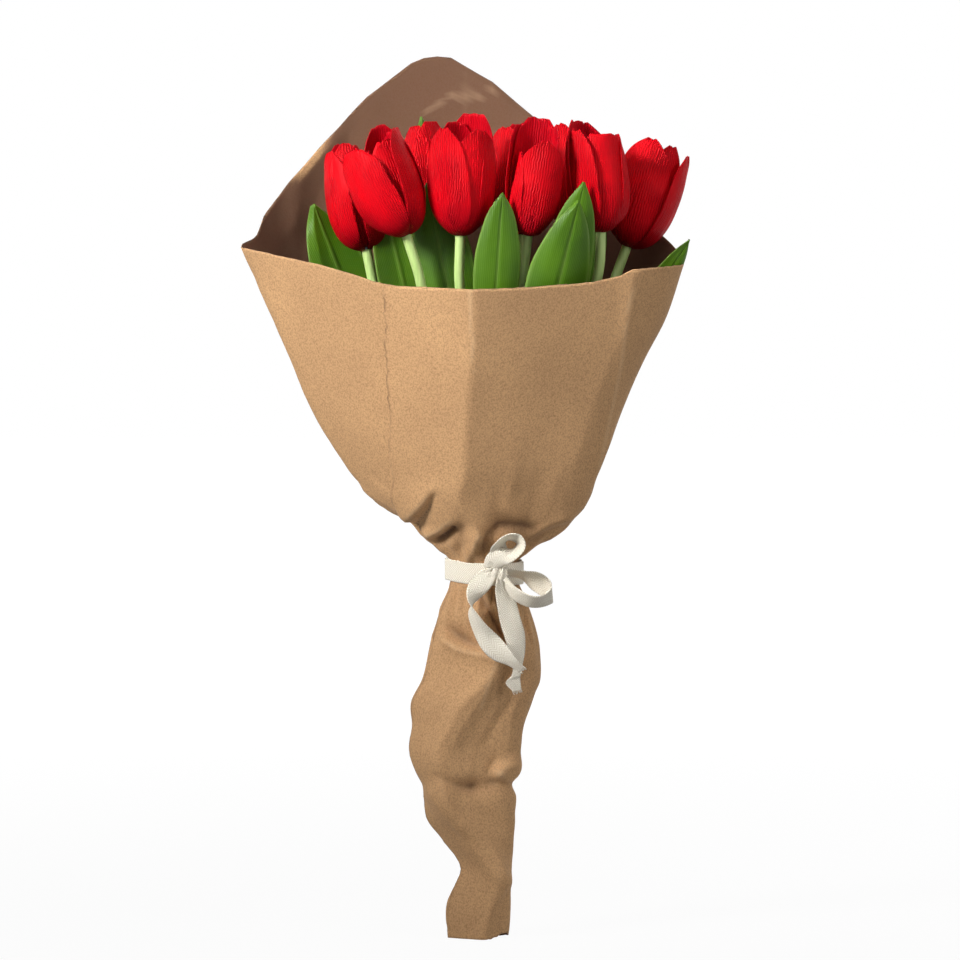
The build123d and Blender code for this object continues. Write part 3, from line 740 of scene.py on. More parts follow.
def kraft_finish(settings):
    """Kraft paper: fibre flecks and faint bands on both sides, darker inside, paler on creases from wear
    and painted highlight, dark on the torn edge from torn fibres and painted shadow, and painted shade deep
    in the folds."""
    finish = Finish("kraft paper", settings.outside_color, roughness=0.78)
    place = finish.place()
    cloud = finish.noise(place, scale=22.0, detail=5.0)
    fleck = finish.noise(finish.scaled(place, (1, 1, 0.8)), scale=1250.0, detail=3.0, roughness=0.6)
    bands = finish.noise(finish.scaled(finish.place("UV"), (1, 0.02, 1)), scale=420.0, detail=2.0)
    inner = finish.math("SUBTRACT", finish.field("back"), finish.field("turned"))
    shade = finish.mix(inner, settings.outside_color, settings.inside_color)
    shade = finish.mix(finish.ramp(cloud, 0.3, 0.7, to_high=0.22), shade, settings.cloud_color)
    shade = finish.mix(finish.ramp(fleck, 0.42, 0.72, to_high=0.52), shade, settings.fleck_color)
    # Paler on rubbed creases and on painted highlights along the ridges.
    wear_and_highlight = finish.ramp(finish.field("wear_and_highlight"), 0.25, 1.0, to_high=0.35)
    shade = finish.mix(wear_and_highlight, shade, settings.wear_and_highlight_color)
    # Darker on the torn edge with its painted shadow, and painted shade deep in the valleys.
    finish.put("Base Color", finish.mix(finish.field("torn_and_shade"), shade, settings.torn_and_shade_color))
    finish.put("Specular IOR Level", 0.25)
    finish.put("Sheen Weight", 0.05)
    fibres = finish.math("ADD", fleck, finish.math("MULTIPLY", bands, 0.6))
    grain = finish.bump(fibres, distance=0.00012, strength=0.6)
    dimples = finish.noise(place, scale=120.0, detail=4.0, roughness=0.6)
    finish.put("Normal", finish.bump(dimples, distance=0.0006, strength=0.35, normal=grain))
    return finish.material


def petal_finish(settings):
    """Dyed satin cloth: pressed veins that fan from the foot, painted shade that darkens the foot, and a
    bluer inner side.
    """
    finish = Finish("petal cloth", settings.color, roughness=0.5)
    place, uv = finish.place(), finish.place("UV")
    veins = finish.node(
        "ShaderNodeTexWave", "Fac",
        {"Vector": uv, "Scale": 230.0, "Distortion": 4.5, "Detail": 2.0, "Detail Scale": 1.2},
        wave_type="BANDS", bands_direction="X",
    )
    weave = finish.noise(place, scale=1800.0, detail=2.0)
    cloud = finish.noise(place, scale=60.0, detail=3.0)
    # Painted shade: the cloth darkens towards the head's foot.
    foot_shade = finish.ramp(finish.field("along"), 0.02, 0.5, to_low=0.75, to_high=0.0)
    shade = finish.mix(foot_shade, settings.color, settings.foot_shade_and_cloud_color)
    shade = finish.mix(finish.ramp(cloud, 0.35, 0.7, to_high=0.3), shade, settings.foot_shade_and_cloud_color)
    pressed = finish.ramp(finish.noise(place, scale=42.0, detail=2.0), 0.38, 0.62, to_low=0.15)
    dips = finish.math("MULTIPLY", finish.ramp(veins, 0.5, 1.0), pressed)
    shade = finish.mix(finish.math("MULTIPLY", dips, 0.5), shade, settings.vein_color)
    shade = finish.mix(finish.math("MULTIPLY", finish.field("back"), 0.2), shade, settings.back_color)
    finish.put("Base Color", shade)
    finish.put("Specular IOR Level", 0.08)
    fine = finish.bump(weave, distance=0.00008, strength=0.5)
    ridges = finish.math("MULTIPLY", veins, pressed)
    finish.put("Normal", finish.bump(ridges, distance=0.0006, strength=0.7, normal=fine))
    return finish.material


def leaf_finish(settings):
    """Moulded green plastic: a pale midrib, fine ribs along the blade, paler margins and darker clouds."""
    finish = Finish("leaf plastic", settings.color, roughness=0.42)
    ribs = finish.node(
        "ShaderNodeTexWave", "Fac",
        {"Vector": finish.place("UV"), "Scale": 320.0, "Distortion": 1.0, "Detail": 1.0},
        wave_type="BANDS", bands_direction="X",
    )
    cloud = finish.noise(finish.place(), scale=35.0, detail=3.0)
    midrib = finish.ramp(finish.field("midrib"), 0.2, 1.0, to_high=0.5)
    margin = finish.ramp(finish.field("margin"), 0.86, 1.0, to_high=0.5)
    shade = finish.mix(finish.ramp(cloud, 0.3, 0.7, to_high=0.5), settings.color, settings.dark_color)
    for share in (finish.ramp(ribs, 0.3, 1.0, to_high=0.12), midrib, margin):
        shade = finish.mix(share, shade, settings.light_color)
    finish.put("Base Color", shade)
    finish.put("Specular IOR Level", 0.2)
    finish.put("Normal", finish.bump(ribs, distance=0.00012, strength=0.5))
    return finish.material


def stem_finish(settings):
    """Soft green plastic: long streaks of a deeper green, in relief."""
    finish = Finish("stem plastic", settings.color, roughness=0.45)
    streaks = finish.noise(finish.scaled(finish.place(), (1, 1, 0.05)), scale=900.0, detail=2.0)
    streaked = finish.ramp(streaks, 0.3, 0.7, to_high=0.5)
    finish.put("Base Color", finish.mix(streaked, settings.color, settings.streak_color))
    finish.put("Normal", finish.bump(streaks, distance=0.0002, strength=0.5))
    return finish.material


def pistil_finish(settings):
    """Yellow-green plastic with a powdery pebble."""
    finish = Finish("pistil plastic", settings.pistil_color, roughness=0.6)
    grain = finish.noise(finish.place(), scale=1500.0, detail=3.0)
    powdered = finish.ramp(grain, 0.35, 0.7)
    finish.put("Base Color", finish.mix(powdered, settings.pistil_color, settings.powder_color))
    finish.put("Normal", finish.bump(grain, distance=0.0002, strength=0.5))
    return finish.material


def steel_finish(settings):
    """Drawn steel wire: fine lines along it."""
    finish = Finish("steel wire", settings.steel_color, roughness=0.35)
    lines = finish.noise(finish.scaled(finish.place(), (1, 1, 0.02)), scale=6000.0, detail=2.0)
    finish.put("Metallic", 1.0)
    finish.put("Roughness", finish.ramp(lines, 0.3, 0.7, to_low=0.3, to_high=0.5))
    return finish.material


def tape_finish(settings):
    """Cotton twill tape: herringbone rows that lean one way and then the other across the width, with
    painted shade in the grooves between them.
    """
    finish = Finish("cotton tape", settings.color, roughness=0.85)
    uv = finish.place("UV")
    across = finish.node("ShaderNodeSeparateXYZ", "X", {0: uv})
    along = finish.node("ShaderNodeSeparateXYZ", "Y", {0: uv})
    zigzag = finish.node("ShaderNodeMath", "Value", {0: across, 1: HERRINGBONE}, operation="PINGPONG")
    slanted = finish.math("ADD", along, zigzag)
    rows = finish.math("SINE", finish.math("MULTIPLY", slanted, 2 * math.pi / TWILL_ROW))
    twill = finish.ramp(rows, -1.0, 1.0)
    fuzz = finish.noise(finish.place(), scale=1600.0, detail=3.0)
    # Painted shade in the grooves between the twill rows.
    groove_shade = finish.ramp(twill, 0.0, 0.6, to_low=0.55, to_high=0.0)
    shade = finish.mix(groove_shade, settings.color, settings.groove_shade_color)
    shade = finish.mix(finish.ramp(fuzz, 0.4, 0.8, to_high=0.25), shade, settings.fuzz_color)
    finish.put("Base Color", shade)
    finish.put("Specular IOR Level", 0.15)
    finish.put("Sheen Weight", 0.2)
    hairs = finish.bump(fuzz, distance=0.0001, strength=0.6)
    finish.put("Normal", finish.bump(twill, distance=0.00025, strength=0.8, normal=hairs))
    return finish.material


def paper_outline(around):
    """Shares of half width and half depth at places round the roll. Whole numbers are the creases, and
    between two of them a parabola goes through the arc's middle."""
    corners = np.array(PAPER_OUTLINE, float)
    arc = np.floor(around).astype(int) % len(corners)
    t = (around - np.floor(around))[..., None]
    first, middle, last = (corners[arc, k] for k in range(3))
    return first * (1 - t) * (1 - 2 * t) + middle * 4 * t * (1 - t) + last * t * (2 * t - 1)


def paper_place(around, height):
    """Points of the smooth roll: the outline stretched to the section at each height, and its front shifted
    sideways so that the front crease follows its line."""
    sections = np.array(PAPER_SECTIONS)
    left, right, depth = np.moveaxis(flow(height, sections[:, 0], sections[:, 1:]), -1, 0)
    across, out = np.moveaxis(paper_outline(around), -1, 0)
    crease = PAPER_OUTLINE[1][0][0]
    ridge = flow(height, *np.array(PAPER_RIDGE).T)
    to_left = -1 + (across + 1) * (ridge + 1) / (crease + 1)
    to_right = 1 - (1 - across) * (1 - ridge) / (1 - crease)
    across = np.where(out < 0, np.where(across < crease, to_left, to_right), across)
    x = (left + right) / 2 + across * (right - left) / 2
    return np.stack([x, out * depth / 2, np.broadcast_to(height, x.shape)], -1)


def line_distance(points, line):
    """Distance of points from a run of straight lines, both seen from the front, and rounded off close to
    the lines so that a fold has no sharp top."""
    place = points[..., ::2]
    near = np.full(points.shape[:-1], np.inf)
    for start, end in zip(np.array(line[:-1]), np.array(line[1:])):
        share = np.clip(((place - start) @ (end - start)) / ((end - start) @ (end - start)), 0, 1)
        near = np.minimum(near, np.linalg.norm(place - start - share[..., None] * (end - start), axis=-1))
    return np.sqrt(near**2 + ROUNDING_SQUARED) - ROUNDING


def folds_height(points, folds):
    """How far points stand out at folds: each fades with the distance from its line."""
    return sum(stand * np.exp(-line_distance(points, line) / reach) for stand, reach, line in folds)


def paper_columns(settings):
    """Places round the roll on the sheet's grid. Columns start under the lap, go left, round the back and
    right, and come over the front to the ragged edge."""
    rows, arc = settings.rows, settings.arc_columns
    turns = len(PAPER_OUTLINE) - 1
    heights = SHEET_FOOT + np.linspace(0, 1, rows)[:, None] * SHEET_RISE
    ragged = RAG_SHARE * waves(heights / RAG_LENGTH, heights * 0, 5)
    lap = np.interp(heights, *np.array(PAPER_LAP).T) + ragged
    ramp = np.linspace(0, 1, arc)[None, :]
    under = (lap + settings.lap_share) * (1 - ramp)
    round_back = np.linspace(0, -turns, turns * arc + 1)[None, 1:]
    over = -turns + (lap - 1) * ramp[:, 1:]
    return np.concatenate([under, np.broadcast_to(round_back, (rows, turns * arc)), over], 1)


def paper_ends(around):
    """Heights of the cut end and of the top edge at places round the roll, and which places are behind.
    The top edge is the first height at which the roll has grown past the rim, or past the peak behind."""
    heights = np.linspace(TOP_LOWEST, TOP_HIGHEST, TOP_STEPS)[:, None]
    x = paper_place(around[None, :], np.broadcast_to(heights, (TOP_STEPS, len(around))))[..., 0]
    behind = (np.floor(around) % len(PAPER_OUTLINE)) >= FIRST_BACK_ARC
    rim = np.interp(x, *np.array(PAPER_RIM).T)
    peak = np.interp(x, *np.array(PAPER_PEAK).T)
    passed = heights >= np.where(behind, peak, rim)
    top = np.where(passed.any(0), heights[np.argmax(passed, 0), 0], TOP_HIGHEST)
    sway = CUT_SWAY * np.sin(around * 2.1 + 1.0)
    nicks = CUT_NICKS * waves(around * 6, around * 0, 9)
    return CUT_HEIGHT + sway + nicks, top, behind


def paper_pleats(points, height):
    """Pleats from -0.5 to 0.5: a zigzag of the turn round the tie that fades up and down the sheet."""
    turn = np.arctan2(points[..., 0], -points[..., 1])
    near_tie = np.exp(-np.abs(height) / np.where(height > 0, PLEAT_FADE_ABOVE, PLEAT_FADE_BELOW))
    zigzag = (turn * PLEAT_COUNT + 0.5 * waves(turn * 2, height / 60, 3)) % 1
    return near_tie * (np.abs(zigzag * 2 - 1) - 0.5)


def paper_facets(round_front, height):
    """Crumpled facets of two sizes on a swayed slope, as strong as the paper is creased at each height."""
    sway = FACET_SWAY * waves(round_front / SWAY_LENGTH, height / SWAY_LENGTH, 11)
    across = (round_front * FACET_COSINE + height * FACET_SINE) / FACET_WIDTH + sway
    up = (height * FACET_COSINE - round_front * FACET_SINE) / FACET_HEIGHT + sway
    small = waves(across * SMALL_ACROSS + 7, up * SMALL_UP, 22, creased=True)
    facets = waves(across, up, 21, creased=True) + SMALL_FACETS * small
    return facets * np.interp(height, *np.array(FACET_STRENGTHS).T)


def wear_and_highlight_marks(points, around, relief, front, corner):
    """Pale marks from 0 to 1, partly rubbed wear and partly painted highlight: where the relief bends
    sharply, and along creases, lines and a corner fold.
    """
    bend = np.abs(np.gradient(np.gradient(relief, axis=0), axis=0))
    bend += np.abs(np.gradient(np.gradient(relief, axis=1), axis=1))
    bend += CREASE_WEAR_AND_HIGHLIGHT * bell(around - np.round(around), CREASE_BREADTH)
    wear_and_highlight = np.clip(bend / FULL_BEND, 0, 1)
    for line in WORN_AND_HIGHLIT_LINES:
        wear_and_highlight = np.maximum(wear_and_highlight, LINE_WEAR_AND_HIGHLIGHT * bell(line_distance(points, line), LINE_BREADTH) * front)
    first_fold = line_distance(points, CORNER_FOLDS[0][2])
    return np.maximum(wear_and_highlight, CORNER_WEAR_AND_HIGHLIGHT * bell(first_fold, CORNER_BREADTH) * corner)


def torn_and_shade_marks(along, height, folds):
    """Dark marks from 0 to 1: patches on the ragged edge, from torn fibres and a painted shadow under the
    upper layer, and painted shade in the deep valleys.
    """
    patches = np.clip(0.6 + 0.4 * waves(height / 4, height * 0, 61), 0, 1)
    torn_and_shade = TORN_SHADE * np.exp(-np.abs(along - along[:, -1:]) / TORN_BREADTH) * patches
    # Painted shade deep in the valleys of the folds.
    return np.maximum(torn_and_shade, TORN_SHADE * ramped(-folds, 0, FULL_SHADE_VALLEY) ** 2)


def turned_marks(x, height, top, behind):
    """1 on the strip of the standing corner's edge that is turned over, and 0 elsewhere."""
    strip = ramped(height, top - TURNED_WIDTH, TURNED_START) * behind
    right, right_start = TURNED_RIGHT
    return strip * ramped(-x, -right, right_start) * ramped(height, *TURNED_LOW)


def paper_form(settings):
    """The rolled sheet on a grid of columns round it and rows up it.

    Rows go from the cut end to the rim in front and to the standing corner behind. Pleats fan from the
    tie, creased facets cover the sheet, and folds stand out along their lines. All of these, and the lift
    of the upper layer at the lap, move points along the sheet's normal.
    """
    around = paper_columns(settings)
    bottom, top, behind = paper_ends(around[-1])
    height = bottom + np.linspace(0, 1, settings.rows)[:, None] * (top - bottom)
    points = paper_place(around, height)
    normal = grid_normals(points)
    along = np.cumsum(np.linalg.norm(np.diff(points, axis=1, prepend=points[:, :1]), axis=-1), axis=1)
    front_crease = len(PAPER_OUTLINE) * settings.arc_columns - 1

    quiet = 1 - np.exp(-((height / TIE_REACH) ** 4))
    front = np.clip(-points[..., 1] / SIDE_FADE - 0.5, 0, 1)
    corner = np.clip(points[..., 1] / SIDE_FADE - 0.5, 0, 1)
    round_front = along - along[:, front_crease:front_crease + 1]
    folds = folds_height(points, FOLDS) * front * quiet
    relief = settings.pleat_depth / MM * paper_pleats(points, height) * quiet
    relief += settings.crumple_depth / MM * paper_facets(round_front, height) * quiet
    relief += folds + folds_height(points, CORNER_FOLDS) * corner

    gap = settings.lap_gap / MM
    steps = np.linspace(0, 1, points.shape[1])[None, :]
    lift = gap * ramped(steps, LAP_LIFT_SHARE, LAP_BLEND_SHARE)
    lift = lift - gap * LAP_SINK_SHARE * ramped(-steps, -LAP_BLEND_SHARE, LAP_BLEND_SHARE)
    points = points - normal * (relief + lift)[..., None]

    marks = {
        # Paler wear with painted highlights along the creases and ridges.
        "wear_and_highlight": wear_and_highlight_marks(points, around, relief, front, corner),
        # Dark torn edge with its painted shadow, and painted shade in the deep valleys.
        "torn_and_shade": torn_and_shade_marks(along, height, folds),
        "turned": turned_marks(points[..., 0], height, top, behind),
    }
    fields = {name: values[:, ::-1] for name, values in marks.items()}
    places = np.stack([along, height], -1)
    return shell(points[:, ::-1] * MM, settings.thickness, places[:, ::-1] * MM, **fields)


def tulip_places(number):
    """Foot and axis of a head, and a point and the direction of its stem's straight run above the tie."""
    column, row, foot, right, back = TULIPS[number]
    right, back = math.radians(right), math.radians(back)
    foot = np.array(foot)
    axis = unit(np.array([math.sin(right), math.sin(back), math.cos(right)]))
    bend = np.array([BUNDLE_X + column * STEM_PITCH, row * STEM_PITCH * math.sqrt(3) / 2, BEND_HEIGHT])
    return foot, axis, bend, unit(foot - axis * NECK_LENGTH - bend)


def petal_curve(number, inner, facing, tip_right, tip_up, settings):
    """A petal's middle line and the way it faces.

    The line is a cubic from the head's foot over the belly to the tip, with its two middle points out at
    the belly.
    """
    foot, axis, _, _ = tulip_places(number)
    turn = math.radians(facing)
    right = unit(np.array([1.0, 0, 0]) - axis * axis[0])
    front = np.cross(right, axis)
    front = front if front[1] < 0 else -front
    outward = right * math.sin(turn) + front * math.cos(turn)
    inset = INNER_INSET if inner else 0.0
    belly = settings.belly_radius / MM * BELLIES[number] - inset
    mouth = settings.mouth_radius / MM - inset
    tip = foot + np.array([tip_right, axis[1] * tip_up - math.cos(turn) * mouth, tip_up])
    usual = foot + axis * tip_up + outward * mouth
    start = foot + outward * (PETAL_START - inset * 0.5) + axis * inset
    low = foot + outward * belly * LOW_BELLY_SHARE + axis * (LOW_BELLY_RISE + inset)
    high = foot + outward * belly * HIGH_BELLY_SHARE + axis * HIGH_BELLY_RISE_SHARE * tip_up
    high = high + (tip - usual) * 0.5
    t = np.linspace(0, 1, PETAL_ROWS)[:, None, None]
    curve = start * (1 - t) ** 3 + low * 3 * t * (1 - t) ** 2 + high * 3 * t**2 * (1 - t) + tip * t**3
    return curve, outward


def petal_form(number, inner, facing, tip_right, tip_up, width, blunt, settings):
    """One petal: its middle line carried across by arcs.

    At each place the arc bends round the head's axis with the radius that the line has there, and its
    length follows the outline. Curled margins, a middle groove and ripples move points outwards, and
    nicks move the top edge along the line.
    """
    foot, axis, _, _ = tulip_places(number)
    curve, outward = petal_curve(number, inner, facing, tip_right, tip_up, settings)
    seed = number * 10 + int(abs(facing))
    along = np.linspace(0, 1, PETAL_ROWS)[:, None]
    across = np.linspace(-1, 1, PETAL_COLUMNS)[None, :]
    outline = np.array(PETAL_OUTLINE) * (1 - blunt) + np.array(BLUNT_OUTLINE) * blunt
    half = flow(along, outline[:, 0], outline[:, 1]) * width * (settings.half_width / MM)
    half = half * (1 + RAGGED_SHARE * waves(along * 7, along * 0, seed) * along)

    sideways = unit(np.cross(axis, outward))
    run = unit(np.gradient(curve, axis=0))
    out = unit(np.cross(sideways, run))
    out = out * np.sign((out * outward).sum(-1, keepdims=True) + 1e-9)
    reach = ((curve - foot) * outward).sum(-1)
    flatter = TIP_FLATTENING * np.clip(along - TIP_SHARE, 0, 1)
    radius = np.maximum(reach, LEAST_ARC) * ARC_SHARE + ARC_EXTRA + flatter
    angle = across * half / radius
    to_side = sideways * (radius * np.sin(angle))[..., None]
    to_axis = out * (radius * (1 - np.cos(angle)))[..., None]
    points = curve + to_side - to_axis

    curl = MARGIN_CURL * across**4 * np.sin(along * 3)
    curl = curl + MARGIN_WAVES * waves(across * 1.6 + 3, along * 4, seed) * along * np.abs(across)
    groove = -PETAL_GROOVE * bell(across, PETAL_GROOVE_SHARE) * np.clip(along * 3, 0, 1) * (1 - along)
    ripple = PETAL_RIPPLE * np.sin(across * RIPPLE_COUNT + 4 * along) * np.clip(along * 2, 0, 1)
    nicks = TOP_NICK_SHARE * waves(across * 2.2, across * 0 + number, seed) * along**6
    points = points + out * (curl + groove + ripple)[..., None] + run * (nicks * NICK_LENGTH)[..., None]
    uv = np.stack(np.broadcast_arrays(across * half, along * PETAL_PATTERN_LENGTH), -1) * MM
    return shell(points * MM, settings.thickness, uv, along=along)


def leaf_blade(number, foot, settings):
    """A leaf's blade: a bowed line from the foot of its tube to its tip, carried across by shallow arcs
    whose margins fold, with a groove at the midrib."""
    _, tip, width, bow, heading, fold_left, fold_right, widest = LEAVES[number]
    rise = unit(np.array(tip) - foot)
    length = np.linalg.norm(np.array(tip) - foot)
    facing = np.array([math.cos(math.radians(heading)), math.sin(math.radians(heading)), 0])
    side = unit(np.cross(facing, rise))
    outward = np.cross(rise, side)
    along = np.linspace(0, 1, LEAF_ROWS)[:, None]
    across = np.linspace(-1, 1, LEAF_COLUMNS)[None, :]
    outline = np.array(LEAF_OUTLINE)
    stretched = along ** (math.log(LEAF_WIDEST) / math.log(widest))
    half = flow(stretched, outline[:, 0], outline[:, 1]) * width * settings.width / MM / 2
    half = half * (1 + LEAF_WAVER_SHARE * waves(along * 9, along * 0, number))

    x = across * half
    middle = LEAF_SEAT * (1 - along) + LEAF_BOW * bow * 4 * along * (1 - along)
    left, right = np.clip(-across - MARGIN_SHARE, 0, 1), np.clip(across - MARGIN_SHARE, 0, 1)
    fold = (left * fold_left + right * fold_right) * MARGIN_FOLD * np.clip(along * 2, 0, 1)
    groove = -MIDRIB_GROOVE * bell(across, MIDRIB_GROOVE_SHARE)
    ripple = LEAF_WAVES * waves(across * 2 + 5, along * 9, number + 40) * np.abs(across)
    ripple = ripple + LEAF_RIPPLE * np.sin(across * LEAF_RIPPLE_COUNT)
    y = middle - x**2 / LEAF_CUP + fold + groove + ripple
    points = foot + rise * (length * along)[..., None] + side * x[..., None] + outward * y[..., None]
    uv = np.stack(np.broadcast_arrays(x, along * length), -1) * MM
    fields = {"midrib": bell(across, MIDRIB_SHARE), "margin": np.abs(across)}
    return shell(points * MM, settings.thickness, uv, **fields)


def leaf_form(number, settings):
    """One leaf: its blade on a tube round the stem, a circle carried along the stem."""
    _, _, bend, fan = tulip_places(LEAVES[number][0])
    tube_foot = bend + fan * ((TUBE_FOOT_HEIGHT - BEND_HEIGHT) / fan[2])
    turn = np.linspace(0, 2 * math.pi, TUBE_COLUMNS)[None, :]
    up = np.linspace(0, TUBE_HEIGHT, TUBE_ROWS)[:, None]
    one = unit(np.cross(fan, [1.0, 0, 0]))
    two = np.cross(fan, one)
    ring = one * np.cos(turn)[..., None] + two * np.sin(turn)[..., None]
    points = tube_foot + fan * up[..., None] + ring * TUBE_RADIUS
    uv = np.stack(np.broadcast_arrays(turn * TUBE_PATTERN_RADIUS, up), -1) * MM
    tube = shell(points * MM, TUBE_WALL * MM, uv, midrib=0.0, margin=0.0)
    return joined([leaf_blade(number, tube_foot, settings), tube])


def ribbon(centre, edge, settings, run=0.0):
    """A strip of tape: at each point of its centre line, a line across from one edge to the other, with
    edge the way and the share of the half width. It gathers near the knot, its margins are thinner than
    its middle, and run is the length of tape before it."""
    share = np.linspace(-1, 1, RIBBON_POINTS)[None, :, None]
    half = settings.width / 2
    normal = unit(np.cross(np.gradient(centre, axis=0), edge))
    wide = np.linalg.norm(edge, axis=-1)[:, None, None]
    near = bell(np.linalg.norm(centre / MM - KNOT, axis=1), GATHER_REACH)[:, None, None]
    narrow = np.clip(1.1 - wide, 0, 1)
    gather = near * narrow * GATHER_SHARE * half * np.cos(share * GATHER_TURN + 0.7)
    points = centre[:, None, :] + edge[:, None, :] * share * half + normal[:, None, :] * gather
    lengths = run + np.cumsum(np.linalg.norm(np.diff(centre, axis=0, prepend=centre[:1]), axis=1))
    uv = np.stack(np.broadcast_arrays(share[..., 0] * half, lengths[:, None]), -1)
    thick = settings.thickness * (1 - THIN_SHARE * share[..., 0] ** 4) * np.ones((len(centre), 1))
    return shell(points, thick, uv)


def loose_strip(table, settings, run):
    """A loop or tail: a smooth curve through its table, turning as the table's ways across turn."""
    table = np.array(table)
    t = np.linspace(0, 1, STATION_POINTS * len(table))
    line = flow(t, np.linspace(0, 1, len(table)), table)
    return ribbon(line[:, :3] * MM, line[:, 3:], settings, run)


def neck_band(out, rise, tilt, settings):
    """One turn of tape round the neck: the paper's outline, swaying up and down and sagging in front."""
    turn = np.linspace(BAND_START, BAND_START - BAND_TURN, BAND_POINTS)
    halves = np.array([NECK_HALF_WIDTH + out, NECK_HALF_DEPTH + out])
    x, y = (paper_outline(turn) * halves + np.array([NECK_X, 0])).T
    sway = rise + tilt * np.sin(turn * 1.3) + 0.3 * waves(turn * 3, turn * 0, 31)
    hang = BAND_HEIGHT - BAND_SLOPE * x + BAND_SAG * np.minimum(y, 0)
    upright = np.broadcast_to([0, 0, 1.0], (len(turn), 3))
    return ribbon(np.stack([x, y, sway + hang], -1) * MM, upright, settings)


def loose_threads(table, count, settings):
    """Threads on a tail's cut end: short parabolas that drift to one side, spread over its width."""
    end, edge = np.array(table[-1]).reshape(2, 3)
    onward = unit(end - np.array(table[-2][:3]))
    t = np.linspace(THREAD_START, 1, THREAD_POINTS)[:, None]
    ways = np.random.default_rng(count).uniform(LEAST_THREAD, MOST_THREAD, (count, 2))
    threads = []
    for n, (drift, reach) in enumerate(ways):
        start = end + edge * (2 * n / (count - 1) - 1) * settings.width / MM / 2
        line = start + onward * reach * t + unit(edge) * drift * reach * t**2
        threads.append(ribbon(line * MM, np.broadcast_to(unit(edge) * THREAD_SHARE, line.shape), settings))
    return threads


def knot_turn(middle, reach, lean, wide, settings):
    """One turn of the knot: an ellipse of tape that leans, narrower where it turns back."""
    turn = np.linspace(0, 2 * math.pi, KNOT_POINTS)
    outwards, upwards = reach
    along = np.array([math.sin(lean), 0, math.cos(lean)])
    side = np.array([math.cos(lean), 0, -math.sin(lean)])
    front = np.array([0, -1.0, 0])
    ring = along * (np.sin(turn) * upwards)[:, None] + front * (np.cos(turn) * outwards)[:, None]
    pinch = wide * (1 - KNOT_PINCH * np.abs(np.sin(turn)))[:, None]
    return ribbon((np.array(middle) + ring) * MM, side * pinch, settings, KNOT_START)


def tape_form(settings):
    """The tape's strips: two turns round the neck, the two loops, the two tails with their threads, and the
    knot's turns."""
    parts = [neck_band(*turn, settings) for turn in TAPE_TURNS]
    for number, table in enumerate((SIDE_LOOP, TOP_LOOP, LEFT_TAIL, RIGHT_TAIL)):
        parts.append(loose_strip(table, settings, STRIP_START + STRIP_STEP * number))
    parts += loose_threads(LEFT_TAIL, LEFT_THREADS, settings)
    parts += loose_threads(RIGHT_TAIL, RIGHT_THREADS, settings)
    parts += [knot_turn(*turn, settings) for turn in KNOT_TURNS]
    return joined(parts)


def seen_share(tree):
    """1 for rays from the camera, off glossy surfaces and through clear ones, and 0 for others."""
    path = tree.nodes.new("ShaderNodeLightPath")
    share = path.outputs["Is Camera Ray"]
    for ray in ("Is Glossy Ray", "Is Transmission Ray"):
        larger = tree.nodes.new("ShaderNodeMath")
        larger.operation = "MAXIMUM"
        tree.links.new(share, larger.inputs[0])
        tree.links.new(path.outputs[ray], larger.inputs[1])
        share = larger.outputs[0]
    return share


def aimed(name, data, place, turn):
    """Puts a lamp or camera in the scene at its place."""
    holder = bpy.data.objects.new(name, data)
    holder.location = place
    holder.rotation_euler = turn
    bpy.context.scene.collection.objects.link(holder)
    return holder


def light_world(scene, settings):
    """A plain white world that is bright where it is seen and dimmer where it lights the bouquet."""
    world = scene.world or bpy.data.worlds.new("studio")
    scene.world = world
    world.use_nodes = True
    tree = world.node_tree
    light = tree.nodes["Background"]
    light.inputs["Color"].default_value = (1, 1, 1, 1)
    strength = tree.nodes.new("ShaderNodeMapRange")
    strength.inputs["To Min"].default_value = settings.world_strength
    tree.links.new(seen_share(tree), strength.inputs["Value"])
    tree.links.new(strength.outputs["Result"], light.inputs["Strength"])


def floor_finish(settings):
    """Pale floor that fades into the white world away from the bouquet."""
    finish = Finish("floor", settings.floor_color, roughness=0.9)
    clouds = finish.ramp(finish.noise(finish.place(), scale=3.0), 0.3, 0.7, to_high=0.02)
    finish.put("Base Color", finish.mix(clouds, settings.floor_color, settings.floor_cloud_color))
    away = finish.node("ShaderNodeVectorMath", "Value", {0: finish.place()}, operation="LENGTH")
    fade = finish.ramp(away, 0.3, 1.4, to_low=0.93)
    share = finish.math("MULTIPLY", seen_share(finish.tree), fade)
    glow = finish.node("ShaderNodeEmission", "Emission", {"Strength": 1.02})
    blend = finish.node("ShaderNodeMixShader", "Shader", {0: share, 1: finish.shader.outputs[0], 2: glow})
    finish.tree.links.new(blend, finish.tree.nodes["Material Output"].inputs["Surface"])
    return finish.material


